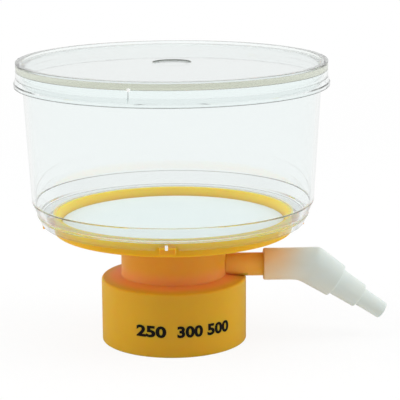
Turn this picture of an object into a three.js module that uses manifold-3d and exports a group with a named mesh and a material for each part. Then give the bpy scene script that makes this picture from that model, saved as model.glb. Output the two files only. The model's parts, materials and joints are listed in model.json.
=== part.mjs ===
// Bottle-top vacuum filter: a clear lidded funnel on a one-piece coloured base
// with a drain dish, a hollow neck, a threaded collar and a side arm, and a
// push-fit hose elbow that swivels on the arm.
// Millimetres, +Z up. The origin is the centre of the collar's mouth, and the
// side arm runs along +X.

import * as THREE from 'three';
import { mergeVertices } from 'three/addons/utils/BufferGeometryUtils.js';
import Module from 'manifold-3d';

const wasm = await Module();
wasm.setup();

// ---------------------------------------------------------------- clearances
const FIT_GAP = 0.3; // between moulded pieces that fit one inside the other
const LAP = 0.4; // how far solids that are joined run into each other
const WELD = 1e-5; // points this close are one point
const ROUND_SHARE = 0.45; // the most of a side that one rounded corner takes

// -------------------------------------------------------------- facet counts
const FACETS_LARGE = 60; // turned pieces of the funnel and the base
const FACETS_SMALL = 24; // arm, elbow and spout
const FACETS_ROUND = 2; // steps in a rounded corner

// ------------------------------------------------------ threaded collar, neck
const COLLAR_RADIUS = 27;
const COLLAR_WALL = 3.7; // out from the root of the thread
const COLLAR_HEIGHT = 23.45; // mouth to the edge of the shoulder
const COLLAR_TOP_WALL = 1.75; // over the bottle's rim, at the shoulder's edge
const COLLAR_CROWN = 1.05; // rise of the shoulder from its edge to the neck
const COLLAR_SHOULDER_ROUND = 1.1;
const COLLAR_MOUTH_ROUND = 0.4; // outer edge of the mouth
const COLLAR_LEAD_IN = 0.7; // chamfer inside the mouth
const CEILING_ROUND = 0.5; // between the socket's wall and its ceiling
const NECK_RADIUS = 19.7;
const NECK_WALL = 2.1;
const NECK_HEIGHT = 18.2; // shoulder's edge to the dish's lower edge
const NECK_FOOT_ROUND = 0.5;
const NECK_TOP_ROUND = 1; // outside, under the dish
const NECK_BORE_ROUND = 0.8; // inside, under the plate

const THREAD_PITCH = 4;
const THREAD_DEPTH = 1.6;
const THREAD_TURNS = 1.5;
const THREAD_ROOT_WIDTH = 2.3;
const THREAD_CREST_WIDTH = 1.0;
const THREAD_START = 5; // mouth to the first turn's centre line
const THREAD_STEPS_PER_TURN = 22;
const THREAD_RUN_OUT = 0.08; // share of the length over which each end fades

// ------------------------------------------------------- gasket in the collar
const GASKET_THICKNESS = 1.6;

// ------------------------------------------------------------- dish and drain
const DISH_RADIUS = 44.05;
const DISH_EDGE_HEIGHT = 3.15; // lower edge to the land that the membrane is on
const DISH_EDGE_ROUND = 0.6;
const RIM_WALL = 2.85;
const RIM_RISE = 3.9; // land to the top of the rim
const LAND_WIDTH = 1.8; // flat ring under the membrane's edge
const FLOOR_EDGE_DEPTH = 0.9; // drain floor under the land, at the land
const FLOOR_CENTRE_DEPTH = 2.2; // and at the outlet
const PLATE_THICKNESS = 2.4; // floor to underside, at the outlet
const RIB_WIDTH = 0.9;
const RIB_TIERS = [
  { count: 12, phase: 0.5, start: 0.21 },
  { count: 12, phase: 0, start: 0.42 },
  { count: 24, phase: 0.5, start: 0.7 },
]; // start is a share of the drained radius

const SPOUT_RADIUS = 4.2;
const SPOUT_BORE = 2.6;
const SPOUT_TIP_RADIUS = 3.5;
const SPOUT_MOUTH = 5.2; // radius of the funnel-shaped inlet
const SPOUT_MOUTH_DEPTH = 1.6;
const SPOUT_STOP = 0.8; // how far the tip stays above the socket's ceiling
const SPOUT_TIP_ROUND = 0.3;
const SPOUT_ROOT_FLARE = 0.8; // extra radius where it leaves the plate
const SPOUT_ROOT_LENGTH = 1;

// ------------------------------------------------------------------- side arm
const ARM_RADIUS = 4.3;
const ARM_BORE = 2.25;
const ARM_BORE_START = 1; // clear of the spout, inside the neck
const ARM_SINK = 0.25; // how far the arm beds into the collar's shoulder
const ARM_REACH = 44.2; // axis of the neck to the arm's end
const ARM_END_CHAMFER = 0.6;

// ------------------------------------------------------------------- membrane
const MEMBRANE_THICKNESS = 0.4;

// ----------------------------------------------------------------- funnel cup
const CUP_WALL = 1.6;
const CUP_TOP_RADIUS = 54.25;
const CUP_CORNER_RADIUS = 51.65;
const CUP_HEIGHT = 52.5; // seat on the rim to the lip
const CUP_CORNER_RISE = 5.2; // seat to the corner of the wall and the shoulder
const CUP_CORNER_ROUND = 1.6;
const CUP_INNER_ROUND = 0.8; // inside, between the wall and the shoulder
const CUP_LIP_ROUND = 0.4;
const SHOULDER_RADIUS = 49.75;
const SHOULDER_RISE = 1.2; // seat to the foot of the sloped shoulder
const SHOULDER_BORE = 47.9; // radius inside the shoulder, at its foot
const SHOULDER_ROUND = 0.6;
const SKIRT_BREAK_DROP = 0.5; // seat down to where the skirt starts to taper
const SKIRT_RADIUS = 48.15; // at its lower edge
const SKIRT_DROP = 3.65; // seat down to the lower edge
const SKIRT_WALL = 1.5;
const SKIRT_EDGE_ROUND = 0.3;
const LEDGE_LAP = 0.65; // how far the flat ledge covers the rim
const LEDGE_THICKNESS = 0.8;
const LEDGE_EDGE_ROUND = 0.2;
const LEDGE_FOOT_ROUND = 0.4; // between the ledge and the shoulder

// ----------------------------------------- lugs on the dish, keyed in the skirt
const LUG_COUNT = 4;
const LUG_WIDTH = 5.7;
const LUG_TURN = -2.6; // degrees, from the side arm
const LUG_KEYED = 2; // the lug that stands off the even pattern
const LUG_KEY_ANGLE = 9.2; // degrees that it stands off
const LUG_DROP = 1.45; // below the skirt's lower edge
const LUG_SETBACK = 0.15; // behind the skirt's outer face
const NOTCH_HEIGHT = 0.95;
const NOTCH_FLARE = 0.8; // extra half width at the foot of a notch

// ------------------------------------------------------------------------ lid
const LID_RADIUS = 56.28;
const LID_SKIRT_RADIUS = 57.08;
const LID_WALL = 1.4;
const LID_THICKNESS = 2;
const LID_RIM_RISE = 0.95; // rim above the disc
const LID_RIM_WIDTH = 2.25;
const LID_EDGE_ROUND = 0.45;
const LID_RIM_FOOT_ROUND = 0.4; // between the raised rim and the disc
const LID_INNER_ROUND = 0.2; // between the skirt and the disc, inside
const LID_FOOT_ROUND = 0.3; // lower edge of the skirt
const LID_SKIRT_DROP = 5.75; // underside of the disc to the skirt's lower edge
const LID_STEP_DROP = 2.4; // underside of the disc to the step
const LID_STEP_HEIGHT = 1.5;
const GATE_RECESS_RADIUS = 7;
const GATE_RECESS_DEPTH = 0.5;

// small raised marks where the clear pieces were gated
const LID_GATE = { angle: -104.4, width: 0.9, proud: 0.35, height: 3.6 };
const CUP_GATE = { angle: -92.6, width: 1.1, proud: 0.4, height: 2.4, rise: 0.1 };

// ----------------------------------------------------------------- hose elbow
const ELBOW_RADIUS = 5.93;
const ELBOW_GRIP = 11; // how far the arm reaches into the socket
const ELBOW_BEND_AT = 17.1; // socket's mouth to the bend
const ELBOW_ANGLE = 34; // degrees, downwards
const ELBOW_BORE = 2.6;
const ELBOW_EDGE_ROUND = 0.7;
const LIMB_BEND_RADIUS = 7.3; // in the plane of the bend
const LIMB_END_RADIUS = 6.48;
const LIMB_LENGTH = 11.9;
const BARB_RADIUS = 5.25;
const BARB_END_RADIUS = 4.66;
const BARB_LENGTH = 10.7;
const TIP_RADIUS = 3.53;
const TIP_END_RADIUS = 3.18;
const TIP_LENGTH = 10.8;
const TIP_BORE = 1.9;

// ------------------------------------------------------- worked-out positions
const threadRoot = COLLAR_RADIUS - COLLAR_WALL;
const threadCrest = threadRoot - THREAD_DEPTH;
const ceilingZ = COLLAR_HEIGHT - COLLAR_TOP_WALL;
const neckBore = NECK_RADIUS - NECK_WALL;
const armZ = COLLAR_HEIGHT + ARM_RADIUS - ARM_SINK;

const dishEdgeZ = COLLAR_HEIGHT + NECK_HEIGHT;
const landZ = dishEdgeZ + DISH_EDGE_HEIGHT;
const seatZ = landZ + RIM_RISE; // top of the rim, which carries the cup
const rimBore = DISH_RADIUS - RIM_WALL;
const drainRadius = rimBore - LAND_WIDTH;
const outletZ = landZ - FLOOR_CENTRE_DEPTH;
const plateUnderZ = outletZ - PLATE_THICKNESS;

const skirtFootZ = seatZ - SKIRT_DROP;
const lipZ = seatZ + CUP_HEIGHT; // the cup's lip, which carries the lid
const lidDiscZ = lipZ + LID_THICKNESS;
const lidTopZ = lidDiscZ + LID_RIM_RISE;

const elbowMouthX = ARM_REACH - ELBOW_GRIP;
const bend = new THREE.Vector3(elbowMouthX + ELBOW_BEND_AT, 0, armZ);

// -------------------------------------------------------------------- helpers

/** A closed outline from [r, z, round] corners; round is that corner's radius. */
function outline(corners) {
  const points = [];
  corners.forEach(([r, z, round = 0], i) => {
    const corner = new THREE.Vector2(r, z);
    if (round <= 0) {
      points.push(corner);
      return;
    }
    const before = new THREE.Vector2(...corners.at(i - 1).slice(0, 2)).sub(corner);
    const after = new THREE.Vector2(...corners[(i + 1) % corners.length].slice(0, 2)).sub(corner);
    const half = Math.acos(before.clone().normalize().dot(after.clone().normalize())) / 2;
    const room = ROUND_SHARE * Math.min(before.length(), after.length());
    const reach = Math.min(round / Math.tan(half), room);
    const start = corner.clone().addScaledVector(before.normalize(), reach);
    const end = corner.clone().addScaledVector(after.normalize(), reach);
    const curve = new THREE.QuadraticBezierCurve(start, corner, end);
    points.push(...curve.getPoints(FACETS_ROUND));
  });
  return points;
}

/** Turns a closed outline about Z. A corner at radius 0 lies on the axis. */
function turned(corners, facets = FACETS_LARGE) {
  const points = outline(corners);
  const onAxis = points[0].x === 0;
  if (!onAxis) points.push(points[0].clone());
  return new THREE.LatheGeometry(points, facets).rotateX(Math.PI / 2);
}

/** Makes a manifold solid from a closed three.js geometry. */
function solid(geometry) {
  const bare = geometry.index ? geometry.toNonIndexed() : geometry.clone();
  bare.deleteAttribute('normal');
  bare.deleteAttribute('uv');
  const merged = mergeVertices(bare, WELD);
  const kept = [];
  const index = merged.index.array;
  for (let i = 0; i < index.length; i += 3) {
    const [a, b, c] = [index[i], index[i + 1], index[i + 2]];
    if (a !== b && b !== c && c !== a) kept.push(a, b, c);
  }
  const vertProperties = new Float32Array(merged.attributes.position.array);
  let result = new wasm.Manifold(new wasm.Mesh({
    numProp: 3,
    vertProperties,
    triVerts: new Uint32Array(kept),
  }));
  if (result.volume() < 0) {
    for (let i = 0; i < kept.length; i += 3) {
      [kept[i], kept[i + 1]] = [kept[i + 1], kept[i]];
    }
    result = new wasm.Manifold(new wasm.Mesh({
      numProp: 3,
      vertProperties,
      triVerts: new Uint32Array(kept),
    }));
  }
  return result;
}

/** Makes a named mesh from a manifold solid. */
function namedMesh(name, body, material) {
  const { vertProperties, triVerts } = body.getMesh();
  const geometry = new THREE.BufferGeometry();
  geometry.setAttribute('position', new THREE.BufferAttribute(vertProperties, 3));
  geometry.setIndex(new THREE.BufferAttribute(triVerts, 1));
  geometry.computeVertexNormals();
  const mesh = new THREE.Mesh(geometry, material);
  mesh.name = name;
  return mesh;
}

/** Turns a geometry about Z by an angle in degrees. */
function turnedBy(geometry, degrees) {
  return geometry.rotateZ(THREE.MathUtils.degToRad(degrees));
}

/** A rod or tube along +X, from outline corners whose z runs along the axis. */
function alongX(corners, facets = FACETS_SMALL) {
  return turned(corners, facets).rotateY(Math.PI / 2);
}

/**
 * A closed solid through flat rings of points, all with as many points.
 * The rings run along the solid, each one turning the same way.
 */
function loft(rings) {
  const count = rings[0].length;
  const positions = rings.flat().flatMap((p) => [p.x, p.y, p.z]);
  const index = [];
  for (let i = 0; i + 1 < rings.length; i += 1) {
    for (let j = 0; j < count; j += 1) {
      const a = i * count + j;
      const b = i * count + ((j + 1) % count);
      index.push(a, b, b + count, a, b + count, a + count);
    }
  }
  const last = (rings.length - 1) * count;
  for (let j = 1; j + 1 < count; j += 1) {
    index.push(0, j + 1, j, last, last + j, last + j + 1);
  }
  const geometry = new THREE.BufferGeometry();
  geometry.setAttribute('position', new THREE.Float32BufferAttribute(positions, 3));
  geometry.setIndex(index);
  return geometry;
}

// ---------------------------------------------------------------- filter base

/** Collar, neck and dish with its rim: one turned moulding, without the drain. */
function baseBody() {
  const shoulderZ = COLLAR_HEIGHT + COLLAR_CROWN;
  return solid(turned([
    [0, plateUnderZ],
    [neckBore, plateUnderZ, NECK_BORE_ROUND],
    [neckBore, ceilingZ],
    [threadRoot, ceilingZ, CEILING_ROUND],
    [threadRoot, COLLAR_LEAD_IN],
    [threadRoot + COLLAR_LEAD_IN, 0],
    [COLLAR_RADIUS, 0, COLLAR_MOUTH_ROUND],
    [COLLAR_RADIUS, COLLAR_HEIGHT, COLLAR_SHOULDER_ROUND],
    [NECK_RADIUS, shoulderZ, NECK_FOOT_ROUND],
    [NECK_RADIUS, plateUnderZ, NECK_TOP_ROUND],
    [DISH_RADIUS, dishEdgeZ, DISH_EDGE_ROUND],
    [DISH_RADIUS, seatZ],
    [rimBore, seatZ],
    [rimBore, landZ],
    [0, landZ],
  ]));
}

/** The conical floor of the drain, cut into the dish under the membrane. */
function drainFloor() {
  return solid(turned([
    [0, outletZ],
    [SPOUT_MOUTH, outletZ],
    [drainRadius, landZ - FLOOR_EDGE_DEPTH],
    [drainRadius, landZ + LAP],
    [0, landZ + LAP],
  ]));
}

/** One rib that carries the membrane, running out from the outlet. */
function drainRib(start, degrees) {
  const from = start * drainRadius;
  const to = drainRadius + LAP;
  const height = FLOOR_CENTRE_DEPTH + LAP;
  const rib = new THREE.BoxGeometry(to - from, RIB_WIDTH, height);
  rib.translate((from + to) / 2, 0, landZ - height / 2);
  return solid(turnedBy(rib, degrees));
}

/** All ribs, in tiers that start further out where the gaps grow wide. */
function drainRibs() {
  const ribs = RIB_TIERS.flatMap(({ count, phase, start }) => Array.from(
    { length: count },
    (_, i) => drainRib(start, ((i + phase) * 360) / count),
  ));
  return ribs.reduce((all, rib) => all.add(rib));
}

/** The drip spout under the outlet, without its bore. */
function spout() {
  const tipZ = ceilingZ + SPOUT_STOP;
  return solid(turned([
    [0, tipZ],
    [SPOUT_TIP_RADIUS, tipZ, SPOUT_TIP_ROUND],
    [SPOUT_RADIUS, plateUnderZ - SPOUT_ROOT_LENGTH],
    [SPOUT_RADIUS + SPOUT_ROOT_FLARE, plateUnderZ + LAP],
    [0, plateUnderZ + LAP],
  ], FACETS_SMALL));
}

/** The outlet's funnel and the spout's bore. */
function spoutBore() {
  return solid(turned([
    [0, ceilingZ],
    [SPOUT_BORE, ceilingZ],
    [SPOUT_BORE, outletZ - SPOUT_MOUTH_DEPTH],
    [SPOUT_MOUTH, outletZ],
    [SPOUT_MOUTH, outletZ + LAP],
    [0, outletZ + LAP],
  ], FACETS_SMALL));
}

/** The side arm that the vacuum is drawn through, without its bore. */
function sideArm() {
  const root = neckBore + NECK_WALL / 2;
  return solid(alongX([
    [0, root],
    [ARM_RADIUS, root],
    [ARM_RADIUS, ARM_REACH - ARM_END_CHAMFER],
    [ARM_RADIUS - ARM_END_CHAMFER, ARM_REACH],
    [0, ARM_REACH],
  ]).translate(0, 0, armZ));
}

/** The arm's bore, from inside the neck to beyond the arm's end. */
function armBore() {
  const inside = SPOUT_RADIUS + ARM_BORE_START;
  return solid(alongX([
    [0, inside],
    [ARM_BORE, inside],
    [ARM_BORE, ARM_REACH + LAP],
    [0, ARM_REACH + LAP],
  ]).translate(0, 0, armZ));
}

/** The collar's thread: a ridge that climbs the wall and fades at both ends. */
function thread() {
  const steps = Math.round(THREAD_TURNS * THREAD_STEPS_PER_TURN);
  const rootRadius = threadRoot + LAP;
  const rings = Array.from({ length: steps + 1 }, (_, i) => {
    const share = i / steps;
    const fade = Math.min(1, share / THREAD_RUN_OUT, (1 - share) / THREAD_RUN_OUT);
    const depth = THREAD_DEPTH * Math.sin((fade * Math.PI) / 2);
    const angle = share * THREAD_TURNS * 2 * Math.PI;
    const z = THREAD_START + share * THREAD_TURNS * THREAD_PITCH;
    const crest = threadRoot - Math.max(depth, -LAP / 2);
    const section = [
      [rootRadius, -THREAD_ROOT_WIDTH / 2],
      [crest, -THREAD_CREST_WIDTH / 2],
      [crest, THREAD_CREST_WIDTH / 2],
      [rootRadius, THREAD_ROOT_WIDTH / 2],
    ];
    return section.map(([r, dz]) => new THREE.Vector3(
      r * Math.cos(angle),
      r * Math.sin(angle),
      z + dz,
    ));
  });
  return solid(loft(rings));
}

/** The angle of a lug, in degrees from the side arm. */
function lugAngle(i) {
  const keyed = i === LUG_KEYED ? LUG_KEY_ANGLE : 0;
  return LUG_TURN + (i * 360) / LUG_COUNT + keyed;
}

/** One lug under the skirt, filling its notch. */
function lug(i) {
  const from = DISH_RADIUS - RIM_WALL / 2;
  const to = SKIRT_RADIUS - LUG_SETBACK;
  const top = skirtFootZ + NOTCH_HEIGHT - FIT_GAP;
  const bottom = skirtFootZ - LUG_DROP;
  const block = new THREE.BoxGeometry(to - from, LUG_WIDTH, top - bottom);
  block.translate((from + to) / 2, 0, (top + bottom) / 2);
  return solid(turnedBy(block, lugAngle(i)));
}

function filterBase() {
  let body = baseBody().subtract(drainFloor());
  body = body.add(drainRibs()).add(spout()).add(sideArm()).add(thread());
  for (let i = 0; i < LUG_COUNT; i += 1) body = body.add(lug(i));
  return body.subtract(spoutBore()).subtract(armBore());
}

// ------------------------------------------------------------ gasket, membrane

/** The flat ring at the socket's ceiling, which the bottle's rim is drawn up to. */
function neckGasket() {
  const outer = threadCrest - FIT_GAP;
  return solid(turned([
    [neckBore + FIT_GAP, ceilingZ - GASKET_THICKNESS],
    [outer, ceilingZ - GASKET_THICKNESS],
    [outer, ceilingZ],
    [neckBore + FIT_GAP, ceilingZ],
  ]));
}

/** The filter disc, lying on the land and the ribs. */
function membrane() {
  const radius = rimBore - FIT_GAP;
  return solid(turned([
    [0, landZ],
    [radius, landZ],
    [radius, landZ + MEMBRANE_THICKNESS],
    [0, landZ + MEMBRANE_THICKNESS],
  ]));
}

// ----------------------------------------------------------------- funnel cup

/** A small raised mark on a clear wall, from an inner radius outwards. */
function gateMark({ angle, width, proud, height }, wallRadius, footZ, depth) {
  const block = new THREE.BoxGeometry(proud + depth, width, height);
  block.translate(wallRadius + (proud - depth) / 2, 0, footZ + height / 2);
  return solid(turnedBy(block, angle));
}

/** The cup's wall, sloped shoulder, flat ledge and skirt, as one turned moulding. */
function cupBody() {
  const cornerZ = seatZ + CUP_CORNER_RISE;
  const lipBore = CUP_TOP_RADIUS - CUP_WALL;
  const footBore = CUP_CORNER_RADIUS - CUP_WALL;
  const ledgeEdge = DISH_RADIUS - LEDGE_LAP;
  const ledgeTop = seatZ + LEDGE_THICKNESS;
  const skirtBore = SHOULDER_RADIUS - SKIRT_WALL;
  const breakZ = seatZ - SKIRT_BREAK_DROP;
  return solid(turned([
    [lipBore, lipZ, CUP_LIP_ROUND],
    [footBore, cornerZ, CUP_INNER_ROUND],
    [SHOULDER_BORE, ledgeTop, LEDGE_FOOT_ROUND],
    [ledgeEdge, ledgeTop, LEDGE_EDGE_ROUND],
    [ledgeEdge, seatZ],
    [skirtBore, seatZ],
    [skirtBore, breakZ],
    [SKIRT_RADIUS - SKIRT_WALL, skirtFootZ],
    [SKIRT_RADIUS, skirtFootZ, SKIRT_EDGE_ROUND],
    [SHOULDER_RADIUS, breakZ],
    [SHOULDER_RADIUS, seatZ + SHOULDER_RISE, SHOULDER_ROUND],
    [CUP_CORNER_RADIUS, cornerZ, CUP_CORNER_ROUND],
    [CUP_TOP_RADIUS, lipZ, CUP_LIP_ROUND],
  ]));
}

/** A notch in the skirt's lower edge, wider at its foot, for one lug. */
function skirtNotch(i) {
  const half = LUG_WIDTH / 2 + FIT_GAP;
  const foot = half + NOTCH_FLARE;
  const section = new THREE.Shape([
    new THREE.Vector2(-foot - NOTCH_FLARE, -NOTCH_HEIGHT),
    new THREE.Vector2(foot + NOTCH_FLARE, -NOTCH_HEIGHT),
    new THREE.Vector2(half, NOTCH_HEIGHT),
    new THREE.Vector2(-half, NOTCH_HEIGHT),
  ]);
  const depth = SKIRT_WALL + SHOULDER_RADIUS - SKIRT_RADIUS + 2 * LAP;
  const wedge = new THREE.ExtrudeGeometry(section, { depth, bevelEnabled: false });
  wedge.rotateX(Math.PI / 2).rotateZ(Math.PI / 2);
  wedge.translate(SKIRT_RADIUS - SKIRT_WALL - LAP, 0, skirtFootZ);
  return solid(turnedBy(wedge, lugAngle(i)));
}

function funnelCup() {
  let body = cupBody();
  for (let i = 0; i < LUG_COUNT; i += 1) body = body.subtract(skirtNotch(i));
  const footZ = skirtFootZ + CUP_GATE.rise;
  return body.add(gateMark(CUP_GATE, SKIRT_RADIUS + LUG_SETBACK, footZ, 0));
}

// ------------------------------------------------------------------------ lid

/** The lid: a recessed disc, a raised rim and a stepped skirt. */
function lid() {
  const footZ = lipZ - LID_SKIRT_DROP;
  const stepZ = lipZ - LID_STEP_DROP;
  const body = solid(turned([
    [0, lidDiscZ - GATE_RECESS_DEPTH],
    [GATE_RECESS_RADIUS, lidDiscZ - GATE_RECESS_DEPTH],
    [GATE_RECESS_RADIUS, lidDiscZ],
    [LID_RADIUS - LID_RIM_WIDTH, lidDiscZ, LID_RIM_FOOT_ROUND],
    [LID_RADIUS - LID_RIM_WIDTH, lidTopZ, LID_EDGE_ROUND],
    [LID_RADIUS, lidTopZ, LID_EDGE_ROUND],
    [LID_RADIUS, stepZ],
    [LID_SKIRT_RADIUS, stepZ - LID_STEP_HEIGHT],
    [LID_SKIRT_RADIUS, footZ, LID_FOOT_ROUND],
    [LID_SKIRT_RADIUS - LID_WALL, footZ, LID_FOOT_ROUND],
    [LID_SKIRT_RADIUS - LID_WALL, stepZ - LID_STEP_HEIGHT],
    [LID_RADIUS - LID_WALL, stepZ],
    [LID_RADIUS - LID_WALL, lipZ, LID_INNER_ROUND],
    [0, lipZ],
  ]));
  return body.add(gateMark(LID_GATE, LID_RADIUS, stepZ - LID_STEP_HEIGHT, LAP));
}

// ----------------------------------------------------------------- hose elbow

/** A point along the lower limb: out from the bend, and across it. */
function limbFrame() {
  const angle = THREE.MathUtils.degToRad(ELBOW_ANGLE);
  return {
    along: new THREE.Vector3(Math.cos(angle), 0, -Math.sin(angle)),
    across: new THREE.Vector3(Math.sin(angle), 0, Math.cos(angle)),
    side: new THREE.Vector3(0, 1, 0),
  };
}

/** An oval ring of points, square to the lower limb. */
function limbRing(distance, acrossRadius, sideRadius) {
  const { along, across, side } = limbFrame();
  return Array.from({ length: FACETS_SMALL }, (_, i) => {
    const angle = (i / FACETS_SMALL) * 2 * Math.PI;
    return bend.clone()
      .addScaledVector(along, distance)
      .addScaledVector(across, acrossRadius * Math.cos(angle))
      .addScaledVector(side, sideRadius * Math.sin(angle));
  });
}

/** A piece turned about Z, laid along the lower limb from the bend. */
function alongLimb(corners) {
  const geometry = alongX(corners);
  geometry.rotateY(THREE.MathUtils.degToRad(ELBOW_ANGLE));
  return solid(geometry.translate(bend.x, bend.y, bend.z));
}

/** The socket limb, which ends inside the bend. */
function socketLimb() {
  return solid(alongX([
    [0, elbowMouthX],
    [ELBOW_RADIUS, elbowMouthX, ELBOW_EDGE_ROUND / 2],
    [ELBOW_RADIUS, bend.x],
    [0, bend.x],
  ]).translate(0, 0, armZ));
}

/** The mitre at the bend: from the socket limb's round to the oval of the limb. */
function bendKnuckle() {
  const start = Array.from({ length: FACETS_SMALL }, (_, i) => {
    const angle = (i / FACETS_SMALL) * 2 * Math.PI;
    return new THREE.Vector3(
      bend.x - LIMB_BEND_RADIUS,
      ELBOW_RADIUS * Math.sin(angle),
      armZ + ELBOW_RADIUS * Math.cos(angle),
    );
  });
  return solid(loft([start, limbRing(0, LIMB_BEND_RADIUS, ELBOW_RADIUS)]));
}

/** The lower limb, tapering from the bend's oval to the round shoulder. */
function taperedLimb() {
  const edge = ELBOW_EDGE_ROUND / 2;
  const faceRadius = LIMB_END_RADIUS - edge;
  return solid(loft([
    limbRing(-LAP / 4, LIMB_BEND_RADIUS, ELBOW_RADIUS),
    limbRing(LIMB_LENGTH - edge, LIMB_END_RADIUS, LIMB_END_RADIUS),
    limbRing(LIMB_LENGTH, faceRadius, faceRadius),
  ]));
}

/** The two hose steps beyond the limb. */
function hoseSteps() {
  const barbStart = LIMB_LENGTH - LAP;
  const barbEnd = LIMB_LENGTH + BARB_LENGTH;
  const tipEnd = barbEnd + TIP_LENGTH;
  return alongLimb([
    [0, barbStart],
    [BARB_RADIUS, barbStart],
    [BARB_END_RADIUS, barbEnd, ELBOW_EDGE_ROUND / 2],
    [TIP_RADIUS, barbEnd],
    [TIP_END_RADIUS, tipEnd, ELBOW_EDGE_ROUND],
    [0, tipEnd],
  ]);
}

/** The passage through the elbow, wide enough in the socket for the arm. */
function elbowPassage() {
  const socketRadius = ARM_RADIUS + FIT_GAP;
  const socketEnd = ARM_REACH + FIT_GAP;
  const mouth = elbowMouthX - LAP;
  const first = solid(alongX([
    [0, mouth],
    [socketRadius, mouth],
    [socketRadius, socketEnd],
    [ELBOW_BORE, socketEnd],
    [ELBOW_BORE, bend.x],
    [0, bend.x],
  ]).translate(0, 0, armZ));
  const barbEnd = LIMB_LENGTH + BARB_LENGTH;
  const second = alongLimb([
    [0, 0],
    [ELBOW_BORE, 0],
    [ELBOW_BORE, barbEnd - ELBOW_BORE],
    [TIP_BORE, barbEnd],
    [TIP_BORE, barbEnd + TIP_LENGTH + LAP],
    [0, barbEnd + TIP_LENGTH + LAP],
  ]);
  const corner = new THREE.SphereGeometry(ELBOW_BORE, FACETS_SMALL, FACETS_SMALL / 2);
  return first.add(second).add(solid(corner.translate(bend.x, bend.y, bend.z)));
}

function hoseElbow() {
  return socketLimb()
    .add(bendKnuckle())
    .add(taperedLimb())
    .add(hoseSteps())
    .subtract(elbowPassage());
}

// ------------------------------------------------------------------ materials

function plastic(color, roughness, opacity = 1) {
  return new THREE.MeshStandardMaterial({
    color,
    roughness,
    metalness: 0,
    opacity,
    transparent: opacity < 1,
  });
}

const CLEAR = plastic(0xeef5f4, 0.08, 0.35);
const YELLOW = plastic(0xe5a01f, 0.35);
const WHITE = plastic(0xf2f4f3, 0.9);
const SILICONE = plastic(0xe6e4dc, 0.6);
const TRANSLUCENT = plastic(0xe4e8e2, 0.4, 0.9);

// ------------------------------------------------------------------- assembly

const filter = new THREE.Group();
filter.name = 'bottle_top_filter';
filter.add(namedMesh('filter_base', filterBase(), YELLOW));
filter.add(namedMesh('neck_gasket', neckGasket(), SILICONE));
filter.add(namedMesh('membrane', membrane(), WHITE));
filter.add(namedMesh('funnel_cup', funnelCup(), CLEAR));
filter.add(namedMesh('lid', lid(), CLEAR));
filter.add(namedMesh('hose_elbow', hoseElbow(), TRANSLUCENT));

export default filter;
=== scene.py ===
"""Looks of a bottle-top vacuum filter with a lidded clear funnel and a hose elbow.

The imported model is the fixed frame: metres, +Z up, the origin at the collar's mouth
and the side arm along +X. Each CAD solid is replaced by a finely turned piece of the
same form, and every piece has its own procedural finish.
"""

import json
import logging
import math
from dataclasses import dataclass
from enum import Enum
from typing import Callable, Mapping, Optional, Sequence, Union

import bmesh
import bpy
from mathutils import Matrix, Vector

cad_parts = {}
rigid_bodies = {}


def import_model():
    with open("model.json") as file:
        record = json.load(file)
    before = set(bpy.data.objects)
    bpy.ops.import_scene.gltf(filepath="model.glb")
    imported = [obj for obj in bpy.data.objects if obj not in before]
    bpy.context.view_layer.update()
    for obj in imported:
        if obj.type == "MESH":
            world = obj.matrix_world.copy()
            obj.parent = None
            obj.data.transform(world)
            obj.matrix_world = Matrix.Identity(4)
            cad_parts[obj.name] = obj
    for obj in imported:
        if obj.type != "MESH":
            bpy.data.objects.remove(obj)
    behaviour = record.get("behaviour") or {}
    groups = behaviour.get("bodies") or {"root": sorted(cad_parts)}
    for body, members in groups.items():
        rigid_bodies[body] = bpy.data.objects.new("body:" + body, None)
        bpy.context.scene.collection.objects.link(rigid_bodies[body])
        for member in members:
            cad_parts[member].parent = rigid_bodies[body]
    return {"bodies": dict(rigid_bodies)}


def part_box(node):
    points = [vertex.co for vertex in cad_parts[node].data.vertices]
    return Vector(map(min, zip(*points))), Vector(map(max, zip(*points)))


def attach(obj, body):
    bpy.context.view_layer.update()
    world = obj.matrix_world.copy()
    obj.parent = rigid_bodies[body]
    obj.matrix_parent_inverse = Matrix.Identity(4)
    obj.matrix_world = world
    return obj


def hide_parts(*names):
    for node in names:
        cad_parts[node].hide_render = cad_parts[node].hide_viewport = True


MM = 0.001
LOG = logging.getLogger("vacuum_filter")

Corner = tuple[float, ...]  # radius, height and, where it is rounded, the round's radius
Point2 = tuple[float, float]
Colour = tuple[float, float, float]
Ring = list[Vector]
Feed = Union["Value", bpy.types.NodeSocket, float, int, str, bool, Sequence[float]]
Key = Union[str, int]

TURNS = 288  # stations round the large turned pieces
TURNS_SMALL = 96  # stations round the spout and the hose fittings
ARC_STEPS = 6  # faces in a rounded corner
ROUND_SHARE = 0.45  # the most of a side that one rounded corner takes
HOLD = 0.06 * MM  # how close a guard edge stands to a rounded corner
CLEAR_SHARE = 0.2  # share of a step that an extra station keeps clear
RIM_DROP = 0.4  # mm that the base's rim stands under its solid's
SHARP = math.radians(32)  # edges sharper than this stay crisp
HAIR = 0.1 * MM  # a very thin band, over which a finish changes
SEAM = 1.0 * MM  # a wider one


class Body(Enum):
    """The two bodies that pieces ride on."""

    FILTER = "filter"
    ELBOW = "elbow"


class Slot(Enum):
    """The record's material slots."""

    YELLOW = "yellow_plastic"
    SILICONE = "silicone"
    MEMBRANE = "membrane_white"
    CLEAR = "clear_plastic"
    TRANSLUCENT = "translucent_plastic"


class Cut(Enum):
    """What one solid does to another."""

    JOIN = "UNION"
    REMOVE = "DIFFERENCE"


# ---------------------------------------------------------------------------- colour


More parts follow.
